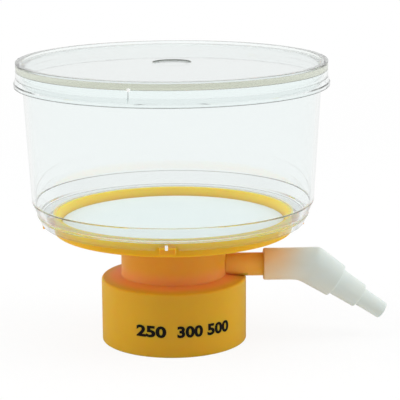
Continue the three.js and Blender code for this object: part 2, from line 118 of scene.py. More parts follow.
def linear(red: int, green: int, blue: int) -> Colour:
    """Turns a display colour, 0 to 255 a channel, into the linear one a shader takes.

    Args:
        red: the display value of red.
        green: the display value of green.
        blue: the display value of blue.

    Returns:
        The linear colour.
    """

    def channel(value: float) -> float:
        """The linear value of one channel."""
        share = value / 255
        return share / 12.92 if share <= 0.04045 else ((share + 0.055) / 1.055) ** 2.4

    return channel(red), channel(green), channel(blue)


# ------------------------------------------------------------------------ node graphs


class Value:
    """A number in a node tree. Arithmetic on it adds Math nodes."""

    def __init__(self, graph: "Graph", socket: bpy.types.NodeSocket) -> None:
        """Wraps an output socket of a graph."""
        self.graph = graph
        self.socket = socket

    def _math(self, operation: str, *operands: Feed) -> "Value":
        """Adds a Math node.

        Args:
            operation: what it does.
            operands: what it does it to, in their order.

        Returns:
            The result.
        """
        inputs = dict(enumerate(operands))
        node = self.graph.node("ShaderNodeMath", {"operation": operation}, inputs)
        return Value(self.graph, node.outputs[0])

    def __add__(self, other: Feed) -> "Value":
        """The sum."""
        return self._math("ADD", self, other)

    def __sub__(self, other: Feed) -> "Value":
        """The difference."""
        return self._math("SUBTRACT", self, other)

    def __rsub__(self, other: Feed) -> "Value":
        """The difference, from a plain number."""
        return self._math("SUBTRACT", other, self)

    def __mul__(self, other: Feed) -> "Value":
        """The product."""
        return self._math("MULTIPLY", self, other)

    def __truediv__(self, other: Feed) -> "Value":
        """The quotient."""
        return self._math("DIVIDE", self, other)

    def hypot(self, other: "Value") -> "Value":
        """The length of a vector with these two sides."""
        return self._math("SQRT", self * self + other * other)

    def least(self, other: Feed) -> "Value":
        """The smaller of the two."""
        return self._math("MINIMUM", self, other)

    def most(self, other: Feed) -> "Value":
        """The larger of the two."""
        return self._math("MAXIMUM", self, other)

    def compare(self, other: Feed, slack: float) -> "Value":
        """1 where the two are within slack of each other, else 0."""
        return self._math("COMPARE", self, other, slack)

    def rise(self, low: float, high: float) -> "Value":
        """A smooth 0 to 1 as the value goes from low to high, or down if low is higher.

        Args:
            low: where the result is 0.
            high: where the result is 1.

        Returns:
            The mask.
        """
        ends = {"Value": self, "From Min": min(low, high), "From Max": max(low, high)}
        ends.update({"To Min": float(low > high), "To Max": float(high > low)})
        settings = {"interpolation_type": "SMOOTHSTEP"}
        node = self.graph.node("ShaderNodeMapRange", settings, ends)
        return Value(self.graph, node.outputs[0])


class Graph:
    """A shader or geometry tree, with the one method that puts nodes in it."""

    def __init__(self, tree: bpy.types.NodeTree) -> None:
        """Starts on a tree."""
        self.tree = tree

    def node(
        self,
        kind: str,
        settings: Optional[Mapping[str, object]] = None,
        inputs: Optional[Mapping[Key, Feed]] = None,
    ) -> bpy.types.Node:
        """Adds one node.

        Args:
            kind: the node's type.
            settings: its properties, set first.
            inputs: what goes into its sockets, by name or number.

        Returns:
            The node.
        """
        node = self.tree.nodes.new(kind)
        for name, value in (settings or {}).items():
            setattr(node, name, value)
        for key, value in (inputs or {}).items():
            self._feed(node.inputs[key], value)
        return node

    def _feed(self, socket: bpy.types.NodeSocket, value: Feed) -> None:
        """Links or sets one input.

        Args:
            socket: the input.
            value: an output to link to it, or what it is set to.
        """
        if isinstance(value, Value):
            value = value.socket
        if isinstance(value, bpy.types.NodeSocket):
            self.tree.links.new(value, socket)
        elif socket.type == "RGBA" and len(value) == 3:
            socket.default_value = (*value, 1.0)
        else:
            socket.default_value = value


@dataclass(frozen=True)
class Skin:
    """How a surface takes light.

    Args:
        roughness: its least roughness.
        spread: how much its grain adds to that.
        specular: how strong its shine is.
        relief: how high the grain stands, in metres.
        strength: how much of the relief shows.
        scatter: how far red, green and blue go in, as shares, if they go in at all.
        depth: the length that those are shares of, in metres.
        index: the index of refraction of what they go into.
    """

    roughness: float
    spread: float
    specular: float = 0.5
    relief: float = 0.0
    strength: float = 1.0
    scatter: Optional[Colour] = None
    depth: float = 0.0
    index: float = 1.49


class ShaderGraph(Graph):
    """The nodes of one material, with the steps that several finishes share."""

    def __init__(self, name: str) -> None:
        """Makes an empty material of that name.

        Args:
            name: the material's name.
        """
        self.material = bpy.data.materials.new(name)
        self.material.use_nodes = True
        super().__init__(self.material.node_tree)
        self.tree.nodes.clear()
        self.place = self.node("ShaderNodeTexCoord").outputs["Object"]

    def axes(self) -> tuple[Value, Value, Value]:
        """The three coordinates in the part's frame, in metres."""
        parts = self.node("ShaderNodeSeparateXYZ", inputs={0: self.place}).outputs
        return Value(self, parts[0]), Value(self, parts[1]), Value(self, parts[2])

    def noise(self, grain: float, detail: float = 3.0, stretch: Colour = (1, 1, 1)) -> Value:
        """Smooth noise over the part.

        Args:
            grain: the size of its features, in metres.
            detail: how many finer octaves it has.
            stretch: how much faster it varies along each axis.

        Returns:
            The noise, about 0.5.
        """
        scale = tuple(share / grain for share in stretch)
        place = self.node("ShaderNodeMapping", inputs={"Vector": self.place, "Scale": scale})
        inputs = {"Vector": place.outputs[0], "Scale": 1.0, "Detail": detail, "Roughness": 0.55}
        return Value(self, self.node("ShaderNodeTexNoise", inputs=inputs).outputs[0])

    def bump(self, height: Value, depth: float, strength: float = 1.0) -> bpy.types.NodeSocket:
        """The normal of a surface that rises by depth where height is 1.

        Args:
            height: the relief.
            depth: its height, in metres.
            strength: how much of it shows.

        Returns:
            The normal.
        """
        inputs = {"Height": height, "Distance": depth, "Strength": strength}
        return self.node("ShaderNodeBump", inputs=inputs).outputs[0]

    def mix(self, first: Feed, second: Feed, share: Feed) -> bpy.types.NodeSocket:
        """A colour between two others.

        Args:
            first: the colour where share is 0.
            second: the colour where share is 1.
            share: the mask.

        Returns:
            The mixed colour.
        """
        inputs = {0: share, 6: first, 7: second}  # the colour mode's sockets
        return self.node("ShaderNodeMix", {"data_type": "RGBA"}, inputs).outputs[2]

    def moulded(self, colour: Feed, grain: Value, skin: Skin) -> bpy.types.Material:
        """Ends the tree in one plain shader.

        Args:
            colour: the colour.
            grain: the noise that makes it rougher and lifts it.
            skin: how the surface takes light.

        Returns:
            The finished material.
        """
        settings: dict[str, object] = {}
        inputs: dict[Key, Feed] = {
            "Base Color": colour,
            "Roughness": grain * skin.spread + skin.roughness,
            "Specular IOR Level": skin.specular,
        }
        if skin.relief:
            inputs["Normal"] = self.bump(grain, skin.relief, skin.strength)
        if skin.scatter:
            settings["subsurface_method"] = "RANDOM_WALK"
            inputs["IOR"] = skin.index
            inputs["Subsurface Weight"] = 1.0
            inputs["Subsurface Radius"] = skin.scatter
            inputs["Subsurface Scale"] = skin.depth
        return self.finish(self.node("ShaderNodeBsdfPrincipled", settings, inputs).outputs[0])

    def finish(
        self, surface: bpy.types.NodeSocket, volume: Optional[bpy.types.NodeSocket] = None
    ) -> bpy.types.Material:
        """Feeds the output and returns the material.

        Args:
            surface: the surface shader.
            volume: the shader inside, if any.

        Returns:
            The finished material.
        """
        inputs = {"Surface": surface}
        if volume is not None:
            inputs["Volume"] = volume
        self.node("ShaderNodeOutputMaterial", inputs=inputs)
        return self.material


class GeometryGraph(Graph):
    """A Geometry Nodes tree with named inputs, run once to make a plain mesh."""

    def __init__(self, name: str) -> None:
        """Makes an empty tree of that name.

        Args:
            name: the tree's name.
        """
        super().__init__(bpy.data.node_groups.new(name, "GeometryNodeTree"))
        self.name = name
        self.values: dict[str, object] = {}
        kind = "NodeSocketGeometry"
        self.tree.interface.new_socket("Geometry", in_out="OUTPUT", socket_type=kind)
        self.source = self.node("NodeGroupInput")

    def input(self, name: str, value: object) -> bpy.types.NodeSocket:
        """Adds a named input and keeps the value that it is given.

        Args:
            name: the input's name.
            value: a number, a whole number or a material.

        Returns:
            The socket that carries it in the tree.
        """
        kinds = {int: "Int", float: "Float", bpy.types.Material: "Material"}
        kind = f"NodeSocket{kinds[type(value)]}"
        socket = self.tree.interface.new_socket(name, in_out="INPUT", socket_type=kind)
        self.values[socket.identifier] = value
        return self.source.outputs[name]

    def number(self, name: str, value: Union[int, float]) -> Value:
        """Adds a named number and returns it ready for arithmetic."""
        return Value(self, self.input(name, value))

    def vector(self, x: Feed, y: Feed, z: Feed) -> bpy.types.NodeSocket:
        """A vector of three numbers."""
        return self.node("ShaderNodeCombineXYZ", inputs={0: x, 1: y, 2: z}).outputs[0]

    def index(self) -> Value:
        """The number of the point that a field is worked out for."""
        return Value(self, self.node("GeometryNodeInputIndex").outputs[0])

    def moved(
        self, shape: bpy.types.NodeSocket, place: Feed, turn: Feed = (0, 0, 0)
    ) -> bpy.types.NodeSocket:
        """Moves a shape, after turning it.

        Args:
            shape: the shape.
            place: how far it moves.
            turn: its turn about each axis, in radians.

        Returns:
            The moved shape.
        """
        inputs = {"Geometry": shape, "Translation": place, "Rotation": turn}
        return self.node("GeometryNodeTransform", inputs=inputs).outputs[0]

    def bar(
        self, start: Value, end: Value, width: Value, height: Value, middle: Value
    ) -> bpy.types.NodeSocket:
        """A straight bar along X.

        Args:
            start: its inner end.
            end: its outer end.
            width: its width.
            height: its height.
            middle: the level of its middle.

        Returns:
            The bar.
        """
        inputs = {"Size": self.vector(end - start, width, height)}
        bar = self.node("GeometryNodeMeshCube", inputs=inputs).outputs[0]
        return self.moved(bar, self.vector((start + end) / 2, 0.0, middle))

    def spread(
        self, count: Value, shape: bpy.types.NodeSocket, turn: Value
    ) -> bpy.types.NodeSocket:
        """Repeats a shape about the part's axis.

        Args:
            count: how many copies.
            shape: the shape, where its first copy would be at no turn.
            turn: each copy's angle.

        Returns:
            The instances.
        """
        points = self.node("GeometryNodePoints", inputs={"Count": count}).outputs[0]
        turned_by = self.vector(0.0, 0.0, turn)
        inputs = {"Points": points, "Instance": shape, "Rotation": turned_by}
        return self.node("GeometryNodeInstanceOnPoints", inputs=inputs).outputs[0]

    def run(self, geometry: bpy.types.NodeSocket, material: bpy.types.Material) -> bpy.types.Object:
        """Ends the tree in Realize Instances and Set Material and makes its mesh.

        Args:
            geometry: what the tree has made.
            material: the finish of the result.

        Returns:
            An object with the plain mesh and no modifier.
        """
        real = self.node("GeometryNodeRealizeInstances", inputs={0: geometry})
        finish = self.input("Finish", material)
        inputs = {"Geometry": real.outputs[0], "Material": finish}
        dressed = self.node("GeometryNodeSetMaterial", inputs=inputs)
        self.node("NodeGroupOutput", inputs={0: dressed.outputs[0]})
        obj = placed(self.name, bpy.data.meshes.new(self.name))
        modifier = obj.modifiers.new("build", "NODES")
        modifier.node_group = self.tree
        for identifier, value in self.values.items():
            modifier[identifier] = value
        settle(obj)
        return obj


# ---------------------------------------------------------------------------- meshes


def placed(name: str, data: bpy.types.ID) -> bpy.types.Object:
    """Puts a mesh, lettering, a lamp or a camera in the scene at the origin.

    Args:
        name: the object's name.
        data: what it shows.

    Returns:
        The object.
    """
    obj = bpy.data.objects.new(name, data)
    bpy.context.scene.collection.objects.link(obj)
    return obj


def settle(obj: bpy.types.Object) -> None:
    """Turns an object's modifiers into plain mesh.

    Args:
        obj: the object, which keeps its name and place.
    """
    mesh = evaluated_mesh(obj)
    obj.modifiers.clear()
    obj.data = mesh


def evaluated_mesh(obj: bpy.types.Object) -> bpy.types.Mesh:
    """Works out an object's modifiers or lettering.

    Args:
        obj: the object, which stays as it is.

    Returns:
        A new mesh.
    """
    bpy.context.view_layer.update()
    depsgraph = bpy.context.evaluated_depsgraph_get()
    return bpy.data.meshes.new_from_object(obj.evaluated_get(depsgraph))


def shaped(name: str, points: Sequence[Vector], faces: Sequence[Sequence[int]]) -> bpy.types.Object:
    """Makes a closed mesh with its faces outwards.

    Args:
        name: the object's name.
        points: the corners.
        faces: the corners of each face.

    Returns:
        The object.
    """
    mesh = bpy.data.meshes.new(name)
    mesh.from_pydata(points, [], faces)
    build = bmesh.new()
    build.from_mesh(mesh)
    bmesh.ops.recalc_face_normals(build, faces=build.faces)
    build.to_mesh(mesh)
    build.free()
    return placed(name, mesh)


def smooth(obj: bpy.types.Object, sharp: float = SHARP) -> bpy.types.Object:
    """Shades an object smooth, apart from its sharp edges.

    Args:
        obj: the object.
        sharp: the angle above which an edge stays crisp.

    Returns:
        The same object.
    """
    obj.data.shade_smooth()
    obj.data.set_sharp_from_angle(angle=sharp)
    return obj


def combine(obj: bpy.types.Object, tool: bpy.types.Object, cut: Cut) -> None:
    """Joins a solid to another or takes it away, and uses it up.

    Args:
        obj: the solid that is kept.
        tool: the solid that joins or cuts it.
        cut: which of the two.
    """
    modifier = obj.modifiers.new("combine", "BOOLEAN")
    modifier.operation = cut.value
    modifier.solver = "MANIFOLD"
    modifier.object = tool
    settle(obj)
    bpy.data.objects.remove(tool)


def rounded(corners: Sequence[Corner]) -> list[Point2]:
    """Walks a closed outline and turns its rounded corners into arcs.

    A guard point stands just before and after each arc, so that flat faces shade flat.

    Args:
        corners: radius, height and, where there is one, the round's radius, in mm.

    Returns:
        The outline's points, in metres.
    """
    points: list[Point2] = []
    for i, corner in enumerate(corners):
        at = Vector(corner[:2]) * MM
        size = corner[2] * MM if len(corner) > 2 else 0.0
        if size <= 0:
            points.append(tuple(at))
            continue
        before = Vector(corners[i - 1][:2]) * MM - at
        after = Vector(corners[(i + 1) % len(corners)][:2]) * MM - at
        room = ROUND_SHARE * min(before.length, after.length)
        points += arc(at, before.normalized(), after.normalized(), size, room)
    return points


def arc(at: Vector, before: Vector, after: Vector, size: float, room: float) -> list[Point2]:
    """The points of one rounded corner.

    Args:
        at: the corner.
        before: the direction back along the outline.
        after: the direction on along it.
        size: the round's radius.
        room: how much of each side it may take.

    Returns:
        The arc's points between its two guard points.
    """
    half = before.angle(after) / 2
    reach = min(size / math.tan(half), room)
    radius = reach * math.tan(half)
    middle = at + (before + after).normalized() * (radius / math.sin(half))
    first = at + before * reach - middle
    last = at + after * reach - middle
    start = math.atan2(first.y, first.x)
    sweep = (math.atan2(last.y, last.x) - start + math.pi) % math.tau - math.pi
    points = [tuple(at + before * (reach + HOLD))]
    for step in range(ARC_STEPS + 1):
        angle = start + sweep * step / ARC_STEPS
        x, y = radius * math.cos(angle), radius * math.sin(angle)
        points.append((middle.x + x, middle.y + y))
    return [*points, tuple(at + after * (reach + HOLD))]


def stations(count: int, extra: Sequence[float] = ()) -> list[float]:
    """Angles round the axis: an even set, with extra ones where a form needs them.

    Args:
        count: how many even ones there are.
        extra: further angles, which push out even ones that stand too close.

    Returns:
        The angles in order, in radians.
    """
    clear = CLEAR_SHARE * math.tau / count
    kept = [angle % math.tau for angle in extra]
    for i in range(count):
        angle = math.tau * i / count
        if all(apart(angle, other) > clear for other in kept):
            kept.append(angle)
    return sorted(kept)


def apart(angle: float, other: float) -> float:
    """How far two angles are apart, the short way round, in radians."""
    return abs((angle - other + math.pi) % math.tau - math.pi)


def turned(
    name: str,
    corners: Sequence[Corner],
    angles: Optional[Sequence[float]] = None,
    shift: Optional[Callable[[float, float, float], Point2]] = None,
) -> bpy.types.Object:
    """Turns a closed outline about Z.

    Args:
        name: the object's name.
        corners: the outline, in mm; if it meets the axis, it starts and ends there.
        angles: the stations round the axis.
        shift: moves a point's radius and height by its angle, for notches.

    Returns:
        The object.
    """
    angles = angles or stations(TURNS)
    outline = rounded(corners)
    points: list[Vector] = []
    rows: list[list[int]] = []
    for radius, height in outline:
        if radius <= 0:
            rows.append([len(points)] * len(angles))
            points.append(Vector((0, 0, height)))
            continue
        rows.append(list(range(len(points), len(points) + len(angles))))
        for angle in angles:
            r, z = shift(angle, radius, height) if shift else (radius, height)
            points.append(Vector((r * math.cos(angle), r * math.sin(angle), z)))
    following = rows[1:] if outline[0][0] <= 0 else rows[1:] + rows[:1]
    return shaped(name, points, skin(rows, following))


def skin(rows: Sequence[Sequence[int]], following: Sequence[Sequence[int]]) -> list[list[int]]:
    """Faces between rows of points and the rows that follow them.

    Args:
        rows: the points of each row, all round.
        following: the row that comes after each one.

    Returns:
        The faces; beside a single point they are triangles.
    """
    faces = []
    for low, high in zip(rows, following):
        for j in range(len(low)):
            k = (j + 1) % len(low)
            face = list(dict.fromkeys((low[j], low[k], high[k], high[j])))
            if len(face) > 2:
                faces.append(face)
    return faces


def lofted(name: str, rings: Sequence[Ring]) -> bpy.types.Object:
    """Closes a skin over rings of points, the last one joined to the first.

    Args:
        name: the object's name.
        rings: rings with as many points each, all turning the same way.

    Returns:
        The object.
    """
    count = len(rings[0])
    rows = [list(range(i * count, (i + 1) * count)) for i in range(len(rings))]
    points = [point for ring in rings for point in ring]
    return shaped(name, points, skin(rows, rows[1:] + rows[:1]))


def dress(
    obj: bpy.types.Object,
    material: bpy.types.Material,
    slot: Optional[Slot],
    body: Body,
    *nodes: str,
) -> None:
    """Gives a finished piece its material and its body, and hides the CAD nodes that it stands for.

    Args:
        obj: the piece.
        material: its finish.
        slot: the record's slot of that finish, if it has one; it is not used.
        body: the body that it rides on.
        nodes: the CAD nodes that it replaces.
    """
    obj.data.materials.clear()
    obj.data.materials.append(material)
    if nodes:
        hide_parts(*nodes)
    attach(obj, body.value)
    LOG.info("%s: %d faces, rides on %s", obj.name, len(obj.data.polygons), body.value)


# --------------------------------------------------------------- places in the frame


@dataclass(frozen=True)
class Places:
    """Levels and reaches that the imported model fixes, in mm.

    Args:
        mouth: the collar's mouth.
        ceiling: the top of the bottle's socket.
        gasket_foot: the underside of the gasket.
        gasket_radius: its outer radius.
        land: the ring that the membrane lies on.
        membrane_top: the membrane's upper face.
        membrane_radius: its radius.
        seat: the top of the base's rim.
        skirt_foot: the lower edge of the cup's skirt.
        lip: the cup's lip.
        cup_radius: the cup's outer radius at the lip.
        lid_foot: the lower edge of the lid.
        lid_top: the top of the lid's rim.
        lid_radius: the lid's radius at its lower edge.
        elbow_mouth: where the elbow's socket starts.
    """

    mouth: float
    ceiling: float
    gasket_foot: float
    gasket_radius: float
    land: float
    membrane_top: float
    membrane_radius: float
    seat: float
    skirt_foot: float
    lip: float
    cup_radius: float
    lid_foot: float
    lid_top: float
    lid_radius: float
    elbow_mouth: float

    @classmethod
    def read(cls) -> "Places":
        """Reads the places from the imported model's boxes.

        Returns:
            The places.
        """
        base_low, base_high = (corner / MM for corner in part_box("filter_base"))
        gasket_low, gasket_high = (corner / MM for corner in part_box("neck_gasket"))
        disc_low, disc_high = (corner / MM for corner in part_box("membrane"))
        cup_low, cup_high = (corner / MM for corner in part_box("funnel_cup"))
        lid_low, lid_high = (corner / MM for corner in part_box("lid"))
        elbow_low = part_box("hose_elbow")[0] / MM
        return cls(
            mouth=base_low.z,
            ceiling=gasket_high.z,
            gasket_foot=gasket_low.z,
            gasket_radius=gasket_high.x,
            land=disc_low.z,
            membrane_top=disc_high.z,
            membrane_radius=disc_high.x,
            seat=base_high.z - RIM_DROP,
            skirt_foot=cup_low.z,
            lip=cup_high.z,
            cup_radius=cup_high.x,
            lid_foot=lid_low.z,
            lid_top=lid_high.z,
            lid_radius=lid_high.x,
            elbow_mouth=elbow_low.x,
        )


@dataclass(frozen=True)
class LugPattern:
    """Where the lugs stand on the base, and the notches for them in the cup's skirt.

    Args:
        count: how many there are.
        turn: degrees from the side arm to the first.
        keyed: the one that stands off the even pattern.
        key_angle: degrees that it stands off.
        width: a lug's width, in mm.
    """

    count: int = 4
    turn: float = -2.6
    keyed: int = 2
    key_angle: float = 9.2
    width: float = 5.7

    def angles(self) -> list[float]:
        """Where the lugs stand.

        Returns:
            Their angles, in radians.
        """
        angles = [self.turn + i * 360 / self.count for i in range(self.count)]
        angles[self.keyed] += self.key_angle
        return [math.radians(angle) for angle in angles]


# -------------------------------------------------------------------------- finishes


@dataclass(frozen=True)
class ClearStyrene:
    """Clear moulded polystyrene: faint flow waves, and a grey-olive depth at its edges.

    Args:
        name: the material's name.
        tint: what a wall's faces let through.
        index: its index of refraction.
        depth_colour: the colour that light takes over a long way inside.
        density: how fast it takes it, per metre.
        wave: the size of the flow waves, in metres.
        wave_depth: how high they are.
        wave_stretch: how much faster they vary along each axis.
        scuff: the size of the scuffs.
        scuffed: the noise between which the scuffs come in.
        ring: the radius of the recess wall that gets painted shade, where there is one.
        ring_z: the level that it starts at.
        hem_z: the level under which the edge gets painted shade too.
        hem_share: how dark that painted shade is.
        painted_shade: the dark tint that paints that shade.
    """

    name: str = "clear_styrene"
    tint: Colour = (0.943, 0.97, 0.97)
    index: float = 1.58
    depth_colour: Colour = (0.37, 0.4, 0.14)
    density: float = 6.0
    wave: float = 0.016
    wave_depth: float = 0.000006
    wave_stretch: Colour = (1, 1, 0.35)
    scuff: float = 0.0016
    scuffed: tuple[float, float] = (0.62, 0.8)
    ring: float = 0.0
    ring_z: float = 0.0
    hem_z: float = 0.0
    hem_share: float = 0.6
    painted_shade: Colour = (0.07, 0.08, 0.08)

    def material(self) -> bpy.types.Material:
        """Makes plastic that bends light, and lets lamps and scattered light through.

        Returns:
            The material.
        """
        graph = ShaderGraph(self.name)
        waves = graph.noise(self.wave, 2.0, self.wave_stretch)
        scuffs = graph.noise(self.scuff, 4.0).rise(*self.scuffed)
        inputs = {
            "Base Color": self._tint_with_painted_shade(graph) if self.ring else self.tint,
            "Roughness": scuffs * 0.03 + 0.004,
            "IOR": self.index,
            "Transmission Weight": 1.0,
            "Normal": graph.bump(waves, self.wave_depth),
        }
        surface = graph.node("ShaderNodeBsdfPrincipled", inputs=inputs).outputs[0]
        rays = graph.node("ShaderNodeLightPath").outputs
        air = graph.node("ShaderNodeBsdfTransparent", inputs={"Color": self.tint}).outputs[0]
        for kind in ("Is Diffuse Ray", "Is Shadow Ray"):
            inputs = {0: rays[kind], 1: surface, 2: air}
            surface = graph.node("ShaderNodeMixShader", inputs=inputs).outputs[0]
        inputs = {"Color": self.depth_colour, "Density": self.density}
        inside = graph.node("ShaderNodeVolumeAbsorption", inputs=inputs)
        return graph.finish(surface, inside.outputs[0])

    def _tint_with_painted_shade(self, graph: ShaderGraph) -> bpy.types.NodeSocket:
        """The tint, with painted shade on the recess's far wall and along the hem.

        Args:
            graph: the material's tree.

        Returns:
            The colour.
        """
        x, y, z = graph.axes()
        away = x.hypot(y) - self.ring
        # painted shade on the wall round the recess
        wall = away.rise(-4 * HAIR, -2 * HAIR) * away.rise(3 * HAIR, HAIR)
        wall = wall * z.rise(self.ring_z, self.ring_z + HAIR)
        # painted shade along the hem, a dark line where the lid sits
        hem = z.rise(self.hem_z + 3 * HAIR, self.hem_z + HAIR) * self.hem_share
        # the recess's painted shade only on its far half
        return graph.mix(self.tint, self.painted_shade, wall * y.rise(-SEAM, 3 * SEAM) + hem)


@dataclass(frozen=True)
class AmberPropylene:
    """Amber polypropylene, a little translucent: a deeper orange on the neck, painted crease shade
    at its foot, painted light on the arm and the rim, and painted shade on the lugs.

    Args:
        collar: the collar's radius, in metres.
        neck: the neck's radius.
        dish: the dish's radius.
        rim_z: the rim's top.
        face: the colour of the collar's wall.
        deep: the colour of the neck.
        root: the redder colour at the foot of the neck, painted crease shade.
        arm: the lighter colour of the side arm, painted light against the dish's shadow and the
            crease at the neck.
        edge: the colour of the dish's lower edge.
        rim: the lemon colour of the thin rim over it, painted light as if lit through.
        lug: the darker colour of the lugs that stand out from it, painted shade.
        foot_z: the neck's foot.
        top_z: the neck's top.
        cloud: the size of the deeper clouds.
        grain: the size of the grain.
        skin: how it takes light.
    """

    collar: float
    neck: float
    dish: float
    rim_z: float
    face: Colour = linear(206, 160, 44)
    deep: Colour = linear(224, 156, 50)
    root: Colour = linear(238, 152, 84)
    arm: Colour = linear(252, 182, 84)
    edge: Colour = linear(214, 166, 36)
    rim: Colour = linear(232, 203, 42)
    lug: Colour = linear(206, 156, 40)
    foot_z: float = 0.0245
    top_z: float = 0.0405
    cloud: float = 0.009
    grain: float = 0.0007
    skin: Skin = Skin(
        roughness=0.34,
        spread=0.14,
        specular=0.13,
        relief=0.00001,
        strength=0.6,
        scatter=(1.0, 0.45, 0.08),
        depth=0.003,
    )

    def material(self) -> bpy.types.Material:
        """Lays the colours over each other, from the collar up to the rim.

        Returns:
            The material.
        """
        graph = ShaderGraph("amber_propylene")
        x, y, z = graph.axes()
        reach = x.hypot(y)
        foot, top = self.foot_z, self.top_z
        inward = reach.rise(self.collar, self.neck + SEAM)
        near_foot = z.rise(foot - 2 * SEAM, foot - SEAM / 2) * z.rise(foot + 6 * SEAM, foot)
        beside = reach.rise(self.neck - HAIR, self.neck + 5 * HAIR) * z.rise(foot, foot + SEAM)
        outside = x.rise(self.collar + 2 * HAIR, self.collar + SEAM)
        under_dish = z.rise(top - 2 * SEAM, top - 4 * SEAM)
        layers = (
            (self.deep, z.rise(foot - SEAM, foot) * inward),
            # painted crease shade: a redder colour at the neck's foot and on the collar's top
            (self.root, near_foot * inward),
            # painted light: the arm lighter, lifted out of the dish's shadow and the crease at the
            # neck
            (self.arm, (beside + outside).least(1.0) * under_dish),
            (self.edge, z.rise(top - SEAM, top + SEAM)),
            # painted light: the rim's top in lemon, as if lit through
            (self.rim, z.rise(self.rim_z - 4.5 * SEAM, self.rim_z - 0.8 * SEAM)),
            # painted shade: the lugs darker than the dish, where they stand in the light
            (self.lug, reach.rise(self.dish + HAIR, self.dish + 4 * HAIR)),
            (self.deep, graph.noise(self.cloud).rise(0.45, 0.8) * 0.12),
        )
        colour: Feed = self.face
        for layer, mask in layers:
            colour = graph.mix(colour, layer, mask)
        return graph.moulded(colour, graph.noise(self.grain, 4.0), self.skin)


@dataclass(frozen=True)
class NaturalPropylene:
    """Natural polypropylene: milky, with painted shade along the top and the amber arm painted in
    where it shows through the socket.

    Args:
        mouth_x: where the socket starts, in metres.
        arm_x: where the arm ends inside it.
        bend_x: where it bends.
        level: the level of the socket's axis.
        slant: how far the limb hangs, in radians.
        milk: its own colour.
        painted_top_shade: its darker colour along the top, painted shade.
        glow: the colour over the arm, painted in where the amber shows through.
        low_glow: how much of that shows low down.
        cloud: the size of its clouds.
        grain: the size of its grain.
        skin: how it takes light.
    """

    mouth_x: float
    arm_x: float
    bend_x: float
    level: float
    slant: float
    milk: Colour = linear(220, 226, 221)
    painted_top_shade: Colour = linear(210, 217, 213)
    glow: Colour = linear(240, 200, 146)
    low_glow: float = 0.7
    cloud: float = 0.006
    grain: float = 0.0008
    skin: Skin = Skin(
        roughness=0.42,
        spread=0.16,
        specular=0.06,
        relief=0.000012,
        strength=0.6,
        scatter=(1.0, 0.95, 0.85),
        depth=0.0006,
    )

    def material(self) -> bpy.types.Material:
        """Paints shade on the milk along the top and paints in the amber showing through over the
        arm.

        Returns:
            The material.
        """
        graph = ShaderGraph("natural_propylene")
        x, _, z = graph.axes()
        socket = z - self.level
        limb = socket * math.cos(self.slant) + (x - self.bend_x) * math.sin(self.slant)
        # the top of the socket and limb, where shade is painted
        upper = socket.most(limb).rise(-3 * SEAM, 5 * SEAM)
        # over the arm, where its amber showing through is painted in
        over_arm = x.rise(self.arm_x + 8 * SEAM, self.mouth_x)
        near = over_arm * (upper * (1 - self.low_glow) + self.low_glow)
        near = near + (graph.noise(self.cloud) - 0.5) * 0.12
        # painted shade along the top, then the painted show-through of the arm
        colour = graph.mix(graph.mix(self.milk, self.painted_top_shade, upper), self.glow, near)
        return graph.moulded(colour, graph.noise(self.grain, 4.0), self.skin)


@dataclass(frozen=True)
class FilterPaper:
    """The membrane: matt white polymer with a faint web of fibres.

    Args:
        white: its colour.
        shade: the colour in its hollows.
        fibre: the size of the web, in metres.
        cloud: the size of its clouds.
        skin: how it takes light.
    """

    white: Colour = linear(240, 241, 240)
    shade: Colour = linear(229, 233, 233)
    fibre: float = 0.0006
    cloud: float = 0.012
    skin: Skin = Skin(0.8, 0.1, specular=0.25, relief=0.00003, strength=0.5)

    def material(self) -> bpy.types.Material:
        """Shades the hollows of the web.

        Returns:
            The material.
        """
        graph = ShaderGraph("filter_paper")
        web = graph.noise(self.fibre, 6.0)
        share = web * 0.6 + graph.noise(self.cloud, 2.0) * 0.5
        return graph.moulded(graph.mix(self.shade, self.white, share), web, self.skin)


@dataclass(frozen=True)
class Speckled:
    """A finish in two colours, the second one in the spots of a fine grain.

    Args:
        name: the material's name.
        base: its main colour.
        spot: the colour of the spots.
        grain: the size of the grain, in metres.
        octaves: how many finer octaves it has.
        spots: the noise between which the spots come in.
        skin: how it takes light.
    """

    name: str
    base: Colour
    spot: Colour
    grain: float
    octaves: float
    spots: tuple[float, float]
    skin: Skin

    def material(self) -> bpy.types.Material:
        """Mixes the spots in.

        Returns:
            The material.
        """
        graph = ShaderGraph(self.name)
        grain = graph.noise(self.grain, self.octaves)
        colour = graph.mix(self.base, self.spot, grain.rise(*self.spots))
        return graph.moulded(colour, grain, self.skin)


@dataclass(frozen=True)
class GateHighlight(Speckled):
    """Opaque white on the gate marks, with grey specks: a painted highlight for the bright line
    they show.
    """

    name: str = "painted_gate_highlight"
    base: Colour = linear(252, 252, 250)
    spot: Colour = linear(214, 217, 214)
    grain: float = 0.0003
    octaves: float = 4.0
    spots: tuple[float, float] = (0.55, 0.8)
    skin: Skin = Skin(0.5, 0.2, relief=0.00002, strength=0.5)


@dataclass(frozen=True)
class PaleSilicone(Speckled):
    """The gasket's silicone: matt, with dust in its skin."""

    name: str = "pale_silicone"
    base: Colour = linear(226, 224, 214)
    spot: Colour = linear(206, 203, 192)
    grain: float = 0.0005
    octaves: float = 5.0
    spots: tuple[float, float] = (0.5, 0.8)
    skin: Skin = Skin(0.5, 0.2, relief=0.00002, strength=0.4)


@dataclass(frozen=True)
class PadInk(Speckled):
    """Black pad-printing ink, a little thin where the pad lifted."""

    name: str = "pad_ink"
    base: Colour = linear(18, 12, 10)
    spot: Colour = linear(58, 38, 20)
    grain: float = 0.0004
    octaves: float = 5.0
    spots: tuple[float, float] = (0.6, 0.85)
    skin: Skin = Skin(0.55, 0.2, specular=0.15)


# ----------------------------------------------------------------------- filter base


@dataclass(frozen=True)
class RibTier:
    """One ring of drain ribs.

    Args:
        count: how many ribs.
        phase: how far the first is turned, as a share of their spacing.
        start: where they start, as a share of the drained radius.
    """

    count: int
    phase: float
    start: float


